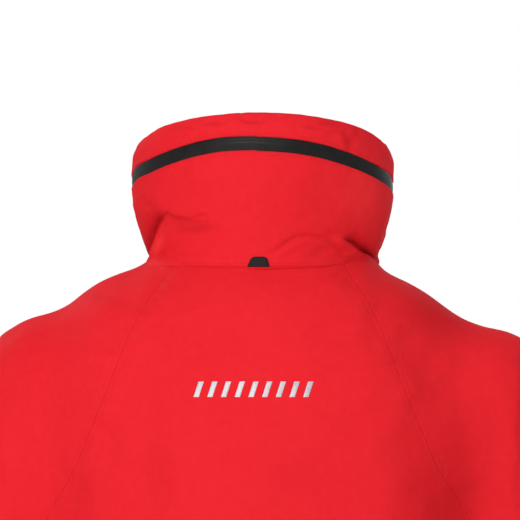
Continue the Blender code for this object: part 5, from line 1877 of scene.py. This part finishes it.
# ------------------------------------------------------------------ floor, light and camera
bm = bmesh.new()
bmesh.ops.create_circle(bm, cap_ends=True, cap_tris=True, segments=128, radius=4.6)
mesh = bpy.data.meshes.new("floor")
bm.to_mesh(mesh)
bm.free()
floor = new_object("floor", mesh)
floor.location.z = -0.0005
put_attr(floor, "far", np.linalg.norm(coords(floor)[:, :2], axis=1) / 4.6)
k = Look("pale_floor")
k.out(Base_Color=k.mix(k.range(k.noise(1.3), 0.3, 0.7, 0.0, 1.0), (0.80, 0.80, 0.80), (0.83, 0.83, 0.83)), Roughness=0.8)
mesh.materials.append(k.m)
nt = k.m.node_tree
result = next(n for n in nt.nodes if n.type == "OUTPUT_MATERIAL")
plain_floor = result.inputs["Surface"].links[0].from_socket
glow = nt.nodes.new("ShaderNodeEmission")
fade = nt.nodes.new("ShaderNodeMapRange")
fade.interpolation_type = "SMOOTHSTEP"
fade.inputs["From Min"].default_value, fade.inputs["From Max"].default_value = 0.12, 0.62
seen_by, both, far = nt.nodes.new("ShaderNodeLightPath"), nt.nodes.new("ShaderNodeMath"), nt.nodes.new("ShaderNodeAttribute")
both.operation = "MULTIPLY"
far.attribute_name = "far"
blend_out = nt.nodes.new("ShaderNodeMixShader")
nt.links.new(far.outputs["Fac"], fade.inputs["Value"])
nt.links.new(fade.outputs["Result"], both.inputs[0])
nt.links.new(seen_by.outputs["Is Camera Ray"], both.inputs[1])
nt.links.new(both.outputs[0], blend_out.inputs["Fac"])
nt.links.new(plain_floor, blend_out.inputs[1])
nt.links.new(glow.outputs[0], blend_out.inputs[2])
nt.links.new(blend_out.outputs[0], result.inputs["Surface"])


def area(name, at, aim, size, watts, colour=(1, 1, 1), size_y=None):
    light = bpy.data.lights.new(name, "AREA")
    light.energy, light.color, light.size = watts, colour, size
    if size_y:
        light.shape, light.size_y = "RECTANGLE", size_y
    ob = bpy.data.objects.new(name, light)
    scene.collection.objects.link(ob)
    ob.location = at
    ob.rotation_euler = (Vector(aim) - Vector(at)).to_track_quat("-Z", "Y").to_euler()
    return ob


area("key", (0.62, 2.95, 1.36), (0, 0, 0.72), 1.0, 42)
area("top", (0.2, 0.5, 2.6), (0, 0, 0.75), 1.4, 4)
area("front_fill", (-0.9, -2.6, 1.5), (0, 0, 0.5), 1.8, 8)
area("front_key", (1.6, -2.0, 2.0), (0, 0, 0.55), 0.8, 15)

world = bpy.data.worlds.new("studio")
scene.world = world
world.use_nodes = True
wt = world.node_tree
wt.nodes.clear()
wo = wt.nodes.new("ShaderNodeOutputWorld")
lp = wt.nodes.new("ShaderNodeLightPath")
seen, lit = wt.nodes.new("ShaderNodeBackground"), wt.nodes.new("ShaderNodeBackground")
seen.inputs["Color"].default_value = (1, 1, 1, 1)
seen.inputs["Strength"].default_value = 1.0
lit.inputs["Color"].default_value = (1, 1, 1, 1)
lit.inputs["Strength"].default_value = 0.48
mx = wt.nodes.new("ShaderNodeMixShader")
wt.links.new(lp.outputs["Is Camera Ray"], mx.inputs["Fac"])
wt.links.new(lit.outputs[0], mx.inputs[1])
wt.links.new(seen.outputs[0], mx.inputs[2])
wt.links.new(mx.outputs[0], wo.inputs["Surface"])

cam_data = bpy.data.cameras.new("camera")
cam = bpy.data.objects.new("camera", cam_data)
scene.collection.objects.link(cam)
cam.location = CAMERA_FROM
cam.rotation_euler = (CAMERA_AIM - CAMERA_FROM).to_track_quat("-Z", "Y").to_euler()
cam_data.angle = 2 * math.atan(0.234 / DISTANCE)
cam_data.clip_start, cam_data.clip_end = 0.05, 50
scene.camera = cam
scene.view_settings.view_transform = "Standard"
scene.view_settings.look = "None"

for ob in list(bpy.data.objects):
    ob.select_set(False)
